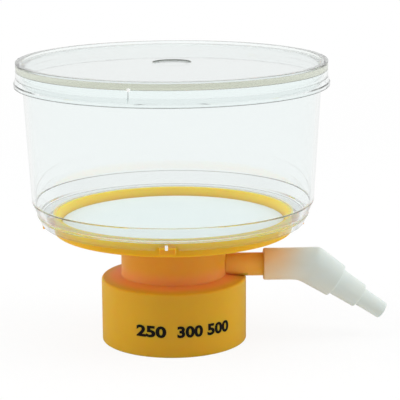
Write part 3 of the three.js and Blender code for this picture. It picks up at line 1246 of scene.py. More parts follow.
@dataclass(frozen=True)
class FilterBase:
    """Threaded collar, neck, drain dish, spout and side arm, moulded in one. Sizes in mm."""

    places: Places
    lugs: LugPattern
    collar_radius: float = 26.8
    collar_wall: float = 3.7
    collar_height: float = 23.45
    collar_crown: float = 1.05
    shoulder_round: float = 1.0
    mouth_round: float = 0.15
    lead_in: float = 0.7
    neck_radius: float = 19.4
    neck_wall: float = 2.1
    dish_radius: float = 44.05
    rim_wall: float = 2.85
    rim_draft: float = 1.3
    dish_edge_drop: float = 6.55
    dish_edge_round: float = 0.6
    land_width: float = 1.8
    floor_edge_depth: float = 0.9
    floor_centre_depth: float = 2.2
    plate: float = 2.4
    spout_radius: float = 4.2
    spout_bore: float = 2.6
    spout_tip_radius: float = 3.5
    spout_mouth: float = 5.2
    spout_mouth_depth: float = 1.6
    spout_stop: float = 0.8
    arm_radius: float = 4.3
    arm_bore: float = 2.25
    arm_sink: float = 0.25
    arm_inset: float = 1.0
    arm_reach: float = 44.2
    arm_chamfer: float = 0.6
    lap: float = 0.4
    lug_drop: float = 1.45
    lug_rise: float = 0.65
    lug_reach: float = 48.0
    lug_round: float = 0.25
    rib_width: float = 0.9
    rib_tiers: tuple[RibTier, ...] = (
        RibTier(12, 0.5, 0.21),
        RibTier(12, 0.0, 0.42),
        RibTier(24, 0.5, 0.7),
    )
    thread_pitch: float = 4.0
    thread_depth: float = 1.6
    thread_turns: float = 1.5
    thread_root_width: float = 2.3
    thread_crest_width: float = 1.0
    thread_start: float = 5.0
    thread_run_out: float = 0.08
    thread_stub: float = 0.15
    spout_tip_round: float = 0.3
    spout_root_flare: float = 0.8
    spout_root_length: float = 1.0
    neck_bore_round: float = 0.8
    neck_foot_round: float = 0.5
    neck_top_round: float = 1.0
    ceiling_round: float = 0.5
    rim_round: float = 0.15

    @property
    def thread_root(self) -> float:
        """The radius of the socket's wall."""
        return self.collar_radius - self.collar_wall

    @property
    def neck_bore(self) -> float:
        """The radius inside the neck."""
        return self.neck_radius - self.neck_wall

    @property
    def drain_radius(self) -> float:
        """The radius of the drained floor."""
        return self.dish_radius - self.rim_wall - self.land_width

    @property
    def outlet(self) -> float:
        """The level of the floor at the outlet."""
        return self.places.land - self.floor_centre_depth

    @property
    def arm_level(self) -> float:
        """The level of the side arm's axis."""
        return self.collar_height + self.arm_radius - self.arm_sink

    def build(self, material: bpy.types.Material) -> None:
        """Makes the moulding: what is turned first, then all that is joined to it or cut out.

        Args:
            material: its finish.
        """
        base = turned("base_moulding", self._outline())
        arm = self._arm(self.neck_bore + self.arm_inset, self.arm_radius, self.arm_chamfer)
        combine(base, arm, Cut.JOIN)
        bore = self._arm(self.spout_radius + self.arm_inset, self.arm_bore, 0.0)
        combine(base, bore, Cut.REMOVE)
        for form in (self._ribs, self._lug_blocks, self._thread):
            combine(base, form(material), Cut.JOIN)
        dress(smooth(base), material, Slot.YELLOW, Body.FILTER, "filter_base")

    def _outline(self) -> list[Corner]:
        """The outline of everything that is turned about the neck's axis.

        Returns:
            Its corners, from the spout's tip round the collar and the dish to the outlet.
        """
        under = self.outlet - self.plate
        dish_edge = self.places.seat - self.dish_edge_drop
        rim_bore = self.dish_radius - self.rim_wall
        tip = self.places.ceiling + self.spout_stop
        return [
            (self.spout_bore, tip),
            (self.spout_tip_radius, tip, self.spout_tip_round),
            (self.spout_radius, under - self.spout_root_length),
            (self.spout_radius + self.spout_root_flare, under),
            (self.neck_bore, under, self.neck_bore_round),
            (self.neck_bore, self.places.ceiling),
            (self.thread_root, self.places.ceiling, self.ceiling_round),
            (self.thread_root, self.lead_in),
            (self.thread_root + self.lead_in, self.places.mouth),
            (self.collar_radius, self.places.mouth, self.mouth_round),
            (self.collar_radius, self.collar_height, self.shoulder_round),
            (self.neck_radius, self.collar_height + self.collar_crown, self.neck_foot_round),
            (self.neck_radius, under, self.neck_top_round),
            (self.dish_radius, dish_edge, self.dish_edge_round),
            (self.dish_radius, self.places.seat, self.rim_round),
            (rim_bore + self.rim_draft, self.places.seat, self.rim_round),
            (rim_bore, self.places.land),
            (self.drain_radius, self.places.land),
            (self.drain_radius, self.places.land - self.floor_edge_depth),
            (self.spout_mouth, self.outlet),
            (self.spout_bore, self.outlet - self.spout_mouth_depth),
        ]

    def _arm(self, start: float, radius: float, chamfer: float) -> bpy.types.Object:
        """A rod along the side arm's axis.

        Args:
            start: its distance from the neck's axis at its inner end.
            radius: its radius.
            chamfer: the chamfer at its outer end; without one it runs past the arm's end.

        Returns:
            The rod.
        """
        end = self.arm_reach + (0 if chamfer else self.lap)
        corners = [(0, start), (radius, start), (radius, end - chamfer)]
        if chamfer:
            corners.append((radius - chamfer, end))
        corners.append((0, end))
        rod = turned("rod", corners, stations(TURNS_SMALL))
        level = Matrix.Translation((0, 0, self.arm_level * MM))
        rod.data.transform(level @ Matrix.Rotation(math.pi / 2, 4, "Y"))
        return rod

    def _ribs(self, material: bpy.types.Material) -> bpy.types.Object:
        """The drain ribs under the membrane, in tiers that start further out.

        Args:
            material: their finish.

        Returns:
            The ribs in one object.
        """
        graph = GeometryGraph("drain_ribs")
        width = graph.number("Rib Width", self.rib_width * MM)
        end = graph.number("Outer End", (self.drain_radius + self.lap) * MM)
        depth = graph.number("Depth", (self.floor_centre_depth + self.lap) * MM)
        top = graph.number("Top", self.places.land * MM)
        join = graph.node("GeometryNodeJoinGeometry")
        for number, tier in enumerate(self.rib_tiers, 1):
            count = graph.number(f"Ribs in Tier {number}", tier.count)
            inner = tier.start * self.drain_radius * MM
            start = graph.number(f"Start of Tier {number}", inner)
            rib = graph.bar(start, end, width, depth, top - depth / 2)
            turn = (graph.index() + tier.phase) * math.tau / count
            graph.tree.links.new(graph.spread(count, rib, turn), join.inputs[0])
        return graph.run(join.outputs[0], material)

    def _lug_blocks(self, material: bpy.types.Material) -> bpy.types.Object:
        """The lugs under the skirt's notches, with softened edges.

        Args:
            material: their finish.

        Returns:
            The lugs in one object.
        """
        graph = GeometryGraph("lugs")
        inner = graph.number("Inner End", (self.dish_radius - self.rim_wall / 2) * MM)
        outer = graph.number("Outer End", self.lug_reach * MM)
        width = graph.number("Lug Width", self.lugs.width * MM)
        foot = graph.number("Foot", (self.places.skirt_foot - self.lug_drop) * MM)
        top = graph.number("Top", (self.places.skirt_foot + self.lug_rise) * MM)
        count = graph.number("Lugs", self.lugs.count)
        keyed = graph.number("Keyed Lug", self.lugs.keyed)
        key = graph.number("Key Angle", math.radians(self.lugs.key_angle))
        block = graph.bar(inner, outer, width, top - foot, (foot + top) / 2)
        index = graph.index()
        even = index * math.tau / count + math.radians(self.lugs.turn)
        turn = even + index.compare(keyed, 0.5) * key
        blocks = graph.run(graph.spread(count, block, turn), material)
        bevel = blocks.modifiers.new("soften", "BEVEL")
        bevel.width = self.lug_round * MM
        bevel.segments = 3
        settle(blocks)
        return blocks

    def _thread(self, material: bpy.types.Material) -> bpy.types.Object:
        """The thread: a tapered ridge swept along a helix inside the collar.

        Args:
            material: its finish.

        Returns:
            The ridge.
        """
        graph = GeometryGraph("thread")
        radius = graph.number("Helix Radius", (self.thread_root + self.lap) * MM)
        turns = graph.number("Turns", self.thread_turns)
        rise = graph.number("Rise", self.thread_turns * self.thread_pitch * MM)
        start = graph.number("Start Height", self.thread_start * MM)
        depth = graph.number("Depth", (self.thread_depth + self.lap) * MM)
        root = graph.number("Root Width", self.thread_root_width * MM)
        crest = graph.number("Crest Width", self.thread_crest_width * MM)
        fade = graph.number("Run-out", self.thread_run_out)
        inputs = {"Resolution": 96, "Rotations": turns, "Height": rise}
        inputs.update({"Start Radius": radius, "End Radius": radius})
        helix = graph.node("GeometryNodeCurveSpiral", inputs=inputs).outputs[0]
        lifted = graph.moved(helix, graph.vector(0.0, 0.0, start))
        upright = graph.node("GeometryNodeSetCurveNormal", {"mode": "Z_UP"}, {0: lifted})
        along = Value(graph, graph.node("GeometryNodeSplineParameter").outputs["Factor"])
        full = (along / fade).least((1 - along) / fade).least(1.0)
        size = full * (1 - self.thread_stub) + self.thread_stub
        inputs = {"Curve": upright.outputs[0], "Radius": size}
        sized = graph.node("GeometryNodeSetCurveRadius", inputs=inputs).outputs[0]
        ridge = graph.node(
            "GeometryNodeCurvePrimitiveQuadrilateral",
            {"mode": "TRAPEZOID"},
            {"Bottom Width": root, "Top Width": crest, "Height": depth, "Offset": 0.0},
        ).outputs[0]
        stood = graph.moved(ridge, graph.vector(depth / -2, 0.0, 0.0), (0, 0, math.pi / 2))
        inputs = {"Curve": sized, "Profile Curve": stood, "Fill Caps": True}
        swept = graph.node("GeometryNodeCurveToMesh", inputs=inputs)
        return graph.run(swept.outputs[0], material)


# ---------------------------------------------------------------- gasket and membrane


@dataclass(frozen=True)
class NeckGasket:
    """The flat ring in the collar's ceiling. Sizes in mm."""

    places: Places
    bore: float = 17.9
    edge_round: float = 0.3
    clearance: float = 0.03

    def build(self, material: bpy.types.Material) -> None:
        """Makes the ring.

        Args:
            material: its finish.
        """
        foot, top = self.places.gasket_foot, self.places.ceiling - self.clearance
        outer = self.places.gasket_radius
        corners = [
            (outer, foot, self.edge_round),
            (outer, top),
            (self.bore, top),
            (self.bore, foot, self.edge_round),
        ]
        ring = smooth(turned("gasket_ring", corners))
        dress(ring, material, Slot.SILICONE, Body.FILTER, "neck_gasket")


@dataclass(frozen=True)
class Membrane:
    """The filter disc on the land, dipping a little between the drain ribs. Sizes in mm."""

    places: Places
    edge_round: float = 0.1
    clearance: float = 0.03
    rings: int = 36
    dip: float = 0.035
    dip_inner: float = 28.5
    dip_fade: float = 2.0
    level_slack: float = 0.01
    ring_spacing: float = 0.9
    ribs: int = 24

    def build(self, material: bpy.types.Material) -> None:
        """Makes the disc.

        Args:
            material: its finish.
        """
        foot, top = self.places.land + self.clearance, self.places.membrane_top
        rim = self.places.membrane_radius
        shares = [(1 - i / self.rings) ** self.ring_spacing for i in range(1, self.rings)]
        upper = [(rim * share, top) for share in shares]
        corners = [(0, foot), (rim, foot), (rim, top, self.edge_round), *upper, (0, top)]
        disc = smooth(turned("membrane_disc", corners, shift=self._dipped))
        dress(disc, material, Slot.MEMBRANE, Body.FILTER, "membrane")

    def _dipped(self, angle: float, radius: float, height: float) -> Point2:
        """Lowers the upper face between the outer ribs.

        Args:
            angle: the point's angle.
            radius: its radius.
            height: its height.

        Returns:
            Its new radius and height.
        """
        reach = radius / MM
        inside = reach < self.places.membrane_radius - self.dip_fade
        upper = height / MM > self.places.membrane_top - self.level_slack
        if not (inside and upper):
            return radius, height
        share = max(0.0, min(1.0, (reach - self.dip_inner) / self.dip_fade))
        wave = 0.5 + 0.5 * math.cos(self.ribs * angle)
        return radius, height - self.dip * MM * share * wave


# ----------------------------------------------------------------------- funnel, lid


@dataclass(frozen=True)
class GateMark:
    """The small upright mark left where the mould was filled. Sizes in mm.

    Args:
        angle: where it stands, in degrees.
        foot: its lower end.
        top: its upper end.
        inner: its radius inside the wall.
        foot_radius: its outer radius at its lower end.
        top_radius: its outer radius at its upper end.
        width: how wide it is, against the wall.
        face_share: how wide it is outside, as a share of that.
    """

    angle: float
    foot: float
    top: float
    inner: float
    foot_radius: float
    top_radius: float
    width: float
    face_share: float = 0.6

    def join(self, wall: bpy.types.Object) -> None:
        """Adds the mark to a wall."""
        combine(wall, self.block("gate_mark"), Cut.JOIN)

    def scar(self, name: str, material: bpy.types.Material) -> None:
        """Makes the mark a piece of its own, for the white of its painted highlight.

        Args:
            name: the piece's name.
            material: its finish.
        """
        dress(self.block(name), material, None, Body.FILTER)

    def block(self, name: str) -> bpy.types.Object:
        """Makes the mark's closed solid.

        Args:
            name: the object's name.

        Returns:
            The object.
        """
        half = self.width / 2
        face = half * self.face_share
        turn = Matrix.Rotation(math.radians(self.angle), 3, "Z")
        points = []
        for height, outer in ((self.foot, self.foot_radius), (self.top, self.top_radius)):
            for x, y in ((self.inner, -half), (outer, -face), (outer, face), (self.inner, half)):
                points.append(turn @ Vector((x, y, height)) * MM)
        return shaped(name, points, [(3, 2, 1, 0), (4, 5, 6, 7), *skin([range(4)], [range(4, 8)])])


@dataclass(frozen=True)
class FunnelCup:
    """Clear funnel with a flat ledge on the rim and a notched skirt round it. Sizes in mm."""

    places: Places
    lugs: LugPattern
    wall: float = 1.6
    lip_round: float = 0.4
    corner_radius: float = 51.65
    corner_rise: float = 5.0
    corner_round: float = 0.5
    step_bore: float = 50.35
    step_rise: float = 5.3
    step_width: float = 0.6
    step_drop: float = 0.2
    step_round: float = 0.1
    shoulder_radius: float = 49.85
    shoulder_rise: float = 0.8
    shoulder_round: float = 0.3
    shoulder_bore: float = 47.7
    skirt_radius: float = 48.15
    skirt_wall: float = 1.5
    skirt_inner_round: float = 0.2
    skirt_edge_round: float = 0.3
    ledge_edge: float = 43.4
    ledge_thickness: float = 0.45
    ledge_round: float = 0.1
    weld: float = 0.03
    notch_height: float = 1.25
    notch_flare: float = 1.1
    notch_clearance: float = 0.3
    gate_angle: float = -92.9
    gate_rise: float = 0.3
    gate_height: float = 2.0
    gate_foot_proud: float = 0.5
    gate_top_proud: float = 1.4
    gate_width: float = 1.05

    @property
    def taper(self) -> float:
        """How much the skirt widens for its height."""
        rise = self.places.seat - self.places.skirt_foot
        return (self.shoulder_radius - self.skirt_radius) / rise

    @property
    def notch_reach(self) -> float:
        """Half a notch's width at the skirt's foot."""
        return self.lugs.width / 2 + self.notch_clearance + self.notch_flare

    def build(self, material: bpy.types.Material, scar: bpy.types.Material) -> None:
        """Makes the funnel.

        Args:
            material: its finish.
            scar: the finish of its gate mark, a painted highlight.
        """
        cup = turned("funnel_shell", self._outline(), self._stations(), self._notched)
        dress(smooth(cup), material, Slot.CLEAR, Body.FILTER, "funnel_cup")
        foot, face = self.places.skirt_foot + self.gate_rise, self.skirt_radius
        mark = GateMark(
            angle=self.gate_angle,
            foot=foot,
            top=foot + self.gate_height,
            inner=face,
            foot_radius=face + self.gate_foot_proud,
            top_radius=face + self.gate_top_proud,
            width=self.gate_width,
        )
        mark.scar("cup_gate_scar", scar)

    def _outline(self) -> list[Corner]:
        """The funnel's wall, ledge and skirt, cut through on one side.

        Returns:
            Its corners.
        """
        seat = self.places.seat
        under = seat - self.weld
        step = seat + self.step_rise
        ledge = seat + self.ledge_thickness
        return [
            (self.places.cup_radius - self.wall, self.places.lip, self.lip_round),
            (self.step_bore, step, self.step_round),
            (self.step_bore - self.step_width, step - self.step_drop, self.step_round),
            (self.shoulder_bore, ledge, self.shoulder_round),
            (self.ledge_edge, ledge, self.ledge_round),
            (self.ledge_edge, under),
            (self.shoulder_radius - self.skirt_wall, under, self.skirt_inner_round),
            (self.skirt_radius - self.skirt_wall, self.places.skirt_foot),
            (self.skirt_radius, self.places.skirt_foot, self.skirt_edge_round),
            (self.shoulder_radius, seat, self.ledge_round),
            (self.shoulder_radius, seat + self.shoulder_rise, self.shoulder_round),
            (self.corner_radius, seat + self.corner_rise, self.corner_round),
            (self.places.cup_radius, self.places.lip, self.lip_round),
        ]

    def _stations(self) -> list[float]:
        """The stations, with extra ones at the corners of the notches.

        Returns:
            The angles, in radians.
        """
        reaches = (self.notch_reach, self.notch_reach - self.notch_flare)
        extra = [
            lug + side * reach / self.skirt_radius
            for lug in self.lugs.angles()
            for side in (-1, 1)
            for reach in reaches
        ]
        return stations(TURNS, extra)

    def _notched(self, angle: float, radius: float, height: float) -> Point2:
        """Raises the skirt's hem over the lugs.

        Args:
            angle: the point's angle.
            radius: its radius.
            height: its height.

        Returns:
            Its new radius and height.
        """
        if height / MM > self.places.skirt_foot + 2 * self.skirt_edge_round:
            return radius, height
        away = min(apart(angle, lug) for lug in self.lugs.angles())
        share = (self.notch_reach - away * self.skirt_radius) / self.notch_flare
        lift = self.notch_height * MM * max(0.0, min(1.0, share))
        return radius + lift * self.taper, height + lift


@dataclass(frozen=True)
class Lid:
    """Clear lid: a disc with a centre recess, a raised rim and a stepped skirt. Sizes in mm."""

    places: Places
    rim_radius: float = 56.28
    rim_width: float = 2.25
    rim_rise: float = 0.95
    wall: float = 1.4
    edge_round: float = 0.12
    rim_foot_round: float = 0.1
    rim_draft: float = 0.1
    foot_round: float = 0.12
    inner_round: float = 0.2
    step_drop: float = 2.7
    step_height: float = 1.9
    recess_radius: float = 7.0
    recess_depth: float = 0.5
    recess_round: float = 0.12
    ridge_angle: float = -105.1
    ridge_drop: float = 0.2
    ridge_foot_proud: float = 0.66
    ridge_top_proud: float = 0.3
    ridge_sunk: float = 0.6
    ridge_width: float = 0.7
    gate_angle: float = -104.8
    gate_drop: float = 0.4
    gate_rise: float = 0.7
    gate_proud: float = 0.45
    gate_sunk: float = 0.3
    gate_width: float = 1.2
    clearance: float = 0.03
    crease: float = math.radians(18)

    @property
    def recess_floor(self) -> float:
        """The level of the recess's floor."""
        return self.places.lid_top - self.rim_rise - self.recess_depth

    def build(self, material: bpy.types.Material, scar: bpy.types.Material) -> None:
        """Makes the lid.

        Args:
            material: its finish.
            scar: the finish of its gate mark, a painted highlight.
        """
        lid = turned("lid_shell", self._outline())
        lip, face = self.places.lip, self.rim_radius
        ridge = GateMark(
            angle=self.ridge_angle,
            foot=lip - self.step_drop - self.step_height,
            top=lip - self.ridge_drop,
            inner=face - self.ridge_sunk,
            foot_radius=face + self.ridge_foot_proud,
            top_radius=face + self.ridge_top_proud,
            width=self.ridge_width,
        )
        ridge.join(lid)
        dress(smooth(lid, self.crease), material, Slot.CLEAR, Body.FILTER, "lid")
        mark = GateMark(
            angle=self.gate_angle,
            foot=lip - self.gate_drop,
            top=lip + self.gate_rise,
            inner=face - self.gate_sunk,
            foot_radius=face + self.gate_proud,
            top_radius=face + self.gate_proud,
            width=self.gate_width,
        )
        mark.scar("lid_gate_scar", scar)

    def _outline(self) -> list[Corner]:
        """The lid from its centre out to its skirt and back underneath.

        Returns:
            Its corners.
        """
        disc = self.places.lid_top - self.rim_rise
        step = self.places.lip - self.step_drop
        low = step - self.step_height
        outer, rim = self.places.lid_radius, self.rim_radius
        under = self.places.lip + self.clearance
        return [
            (0, self.recess_floor),
            (self.recess_radius, self.recess_floor, self.recess_round),
            (self.recess_radius, disc, self.recess_round),
            (rim - self.rim_width, disc, self.rim_foot_round),
            (rim - self.rim_width + self.rim_draft, self.places.lid_top, self.edge_round),
            (rim, self.places.lid_top, self.edge_round),
            (rim, step),
            (outer, low),
            (outer, self.places.lid_foot, self.foot_round),
            (outer - self.wall, self.places.lid_foot, self.foot_round),
            (outer - self.wall, low),
            (rim - self.wall, step),
            (rim - self.wall, under, self.inner_round),
            (0, under),
        ]


# ------------------------------------------------------------------------- hose elbow


@dataclass(frozen=True)
class HoseElbow:
    """Socket, bent limb and stepped hose tail, lofted through rings. Sizes in mm."""

    places: Places
    level: float
    angle: float = 34.0
    bend_at: float = 17.1
    socket_radius: float = 5.93
    socket_bore: float = 4.6
    socket_depth: float = 11.3
    straight: float = 9.8
    bore: float = 2.6
    edge_round: float = 0.7
    bend_radius: float = 7.4
    bend_round: float = 1.5
    limb_radius: float = 6.48
    limb_length: float = 11.9
    barb_start: float = 5.25
    barb_end: float = 4.66
    barb_length: float = 10.7
    tip_start: float = 3.53
    tip_end: float = 3.18
    tip_length: float = 10.75
    tip_bore: float = 1.9
    tip_round: float = 0.7
    step_round: float = 0.25
    step_foot_round: float = 0.2
    bore_round: float = 0.3

    def build(self, material: bpy.types.Material) -> None:
        """Makes the elbow.

        Args:
            material: its finish.
        """
        rings = self._outside() + self._inside()
        elbow = smooth(lofted("elbow_fitting", softened(rings)))
        dress(elbow, material, Slot.TRANSLUCENT, Body.ELBOW, "hose_elbow")

    def _outside(self) -> list[tuple[Ring, float]]:
        """The rings from the mouth to the tip, each with its rounding.

        Returns:
            The rings.
        """
        limb = self.limb_length
        barb = limb + self.barb_length
        tip = barb + self.tip_length
        return [
            (self._level_ring(0, self.socket_radius), self.edge_round),
            (self._level_ring(self.straight, self.socket_radius), 0.0),
            (self._limb_ring(0, self.bend_radius, self.socket_radius), self.bend_round),
            (self._limb_ring(limb, self.limb_radius), self.step_round),
            (self._limb_ring(limb, self.barb_start), self.step_foot_round),
            (self._limb_ring(barb, self.barb_end), self.step_round),
            (self._limb_ring(barb, self.tip_start), self.step_foot_round),
            (self._limb_ring(tip, self.tip_end), self.tip_round),
        ]

    def _inside(self) -> list[tuple[Ring, float]]:
        """The rings of the passage, from the tip back to the mouth.

        Returns:
            The rings.
        """
        limb = self.limb_length
        tip = limb + self.barb_length + self.tip_length
        mitre = self.bore / math.cos(math.radians(self.angle / 2))
        return [
            (self._limb_ring(tip, self.tip_bore), self.bore_round),
            (self._limb_ring(limb, self.tip_bore), 0.0),
            (self._limb_ring(limb, self.bore), 0.0),
            (self._ring(self.bend_at, 0, self.angle / 2, mitre, self.bore), 0.0),
            (self._level_ring(self.socket_depth, self.bore), 0.0),
            (self._level_ring(self.socket_depth, self.socket_bore), 0.0),
            (self._level_ring(0, self.socket_bore), self.bore_round),
        ]

    def _level_ring(self, at: float, radius: float) -> Ring:
        """A ring round the socket's axis, at a distance from its mouth."""
        return self._ring(at, 0, 0, radius, radius)

    def _limb_ring(self, along: float, radius: float, side: Optional[float] = None) -> Ring:
        """A ring round the limb's axis, at a distance from the bend."""
        return self._ring(self.bend_at, along, self.angle, radius, radius if side is None else side)

    def _ring(self, at: float, along: float, tilt: float, across: float, side: float) -> Ring:
        """A ring of points, perhaps oval.

        Args:
            at: its distance from the mouth, level.
            along: its further distance down the limb.
            tilt: how far its plane leans, in degrees.
            across: its half width in the plane of the bend.
            side: its half width sideways.

        Returns:
            The points.
        """
        slant, lean = math.radians(self.angle), math.radians(tilt)
        middle = Vector((self.places.elbow_mouth + at, 0, self.level))
        middle += Vector((math.cos(slant), 0, -math.sin(slant))) * along
        up = Vector((math.sin(lean), 0, math.cos(lean)))
        ring = []
        for turn in stations(TURNS_SMALL):
            offset = up * (across * math.cos(turn)) + Vector((0, side * math.sin(turn), 0))
            ring.append((middle + offset) * MM)
        return ring


def softened(rings: Sequence[tuple[Ring, float]]) -> list[Ring]:
    """Rounds a closed loft where its rings ask for it.

    Args:
        rings: the rings, each with how far its rounding reaches, in mm.

    Returns:
        The rings with each rounded one replaced by a soft bend.
    """
    result: list[Ring] = []
    for i, (ring, reach) in enumerate(rings):
        if reach <= 0:
            result.append(ring)
            continue
        back = towards(ring, rings[i - 1][0], reach * MM)
        on = towards(ring, rings[(i + 1) % len(rings)][0], reach * MM)
        for step in range(ARC_STEPS + 1):
            s = step / ARC_STEPS
            first, middle, last = (1 - s) ** 2, 2 * s * (1 - s), s * s
            bend = zip(back, ring, on)
            result.append([b * first + at * middle + a * last for b, at, a in bend])
    return result


def towards(ring: Ring, other: Ring, reach: float) -> Ring:
    """Moves a ring's points towards another ring's.

    Args:
        ring: the points.
        other: the point that each one moves towards.
        reach: how far, in metres, short of a share of the way.

    Returns:
        The moved points.
    """
    ways = [to - at for at, to in zip(ring, other)]
    steps = [way.normalized() * min(reach, ROUND_SHARE * way.length) for way in ways]
    return [at + step for at, step in zip(ring, steps)]


# ----------------------------------------------------------------------- collar print


@dataclass(frozen=True)
class CollarPrint:
    """Plain numbers pad-printed round the collar's front. Sizes in mm, angles in degrees."""

    radius: float
    words: tuple[tuple[str, float, float], ...] = (
        ("250", -30.6, -6.2),
        ("300 500", 2.2, 46.8),
    )
    cap_height: float = 4.4
    baseline: float = 7.4
    weight: float = 0.042
    proud: float = 0.03
    sunk: float = 0.05
    slices: int = 72
    thickness: float = 0.01
    curve_steps: int = 4
    weld: float = 1e-6

    def build(self, material: bpy.types.Material) -> None:
        """Makes the print.

        Args:
            material: the ink.
        """
        whole = bmesh.new()
        mesh = bpy.data.meshes.new("collar_print")
        for text, start, end in self.words:
            word = bmesh.new()
            word.from_mesh(self._lettering(text))
            bmesh.ops.remove_doubles(word, verts=word.verts, dist=self.weld)
            self._fit(word, start, end)
            word.to_mesh(mesh)
            word.free()
            whole.from_mesh(mesh)
        bmesh.ops.recalc_face_normals(whole, faces=whole.faces)
        bmesh.ops.triangulate(whole, faces=whole.faces)
        whole.to_mesh(mesh)
        whole.free()
        dress(placed("collar_print", mesh), material, None, Body.FILTER)

    def _lettering(self, words: str) -> bpy.types.Mesh:
        """Makes numbers of a little thickness, which `_fit` scales.

        Args:
            words: the numbers.

        Returns:
            Their mesh.
        """
        text = bpy.data.curves.new("collar_print", "FONT")
        text.body = words
        text.size = 1.0
        text.offset = self.weight
        text.extrude = self.thickness
        text.resolution_u = self.curve_steps
        carrier = placed("lettering", text)
        mesh = evaluated_mesh(carrier)
        bpy.data.objects.remove(carrier)
        bpy.data.curves.remove(text)
        return mesh

    def _fit(self, build: bmesh.types.BMesh, start: float, end: float) -> None:
        """Slices lettering upright and bends it round the collar.

        Args:
            build: the lettering.
            start: where it starts, in degrees from the front.
            end: where it ends.
        """
        xs = [vertex.co.x for vertex in build.verts]
        ys = [vertex.co.y for vertex in build.verts]
        left, right, low, high = min(xs), max(xs), min(ys), max(ys)
        for i in range(1, self.slices):
            place = (left + (right - left) * i / self.slices, 0, 0)
            parts = [*build.verts, *build.edges, *build.faces]
            bmesh.ops.bisect_plane(
                build, geom=parts, dist=self.weld, plane_co=place, plane_no=(1, 0, 0)
            )
        for vertex in build.verts:
            across = (vertex.co.x - left) / (right - left)
            angle = math.radians(-90 + start + (end - start) * across)
            radius = self.radius + (self.proud if vertex.co.z > 0 else -self.sunk)
            height = self.baseline + (vertex.co.y - low) / (high - low) * self.cap_height
            x, y = radius * math.cos(angle), radius * math.sin(angle)
            vertex.co = Vector((x, y, height)) * MM


# ------------------------------------------------------------------------------ studio


@dataclass(frozen=True)
class Softbox:
    """A large soft lamp. Sizes and places in metres.

    Args:
        name: its name.
        place: where it hangs.
        width: its width.
        height: its height.
        power: its power, in watts.
    """

    name: str
    place: tuple[float, float, float]
    width: float
    height: float
    power: float


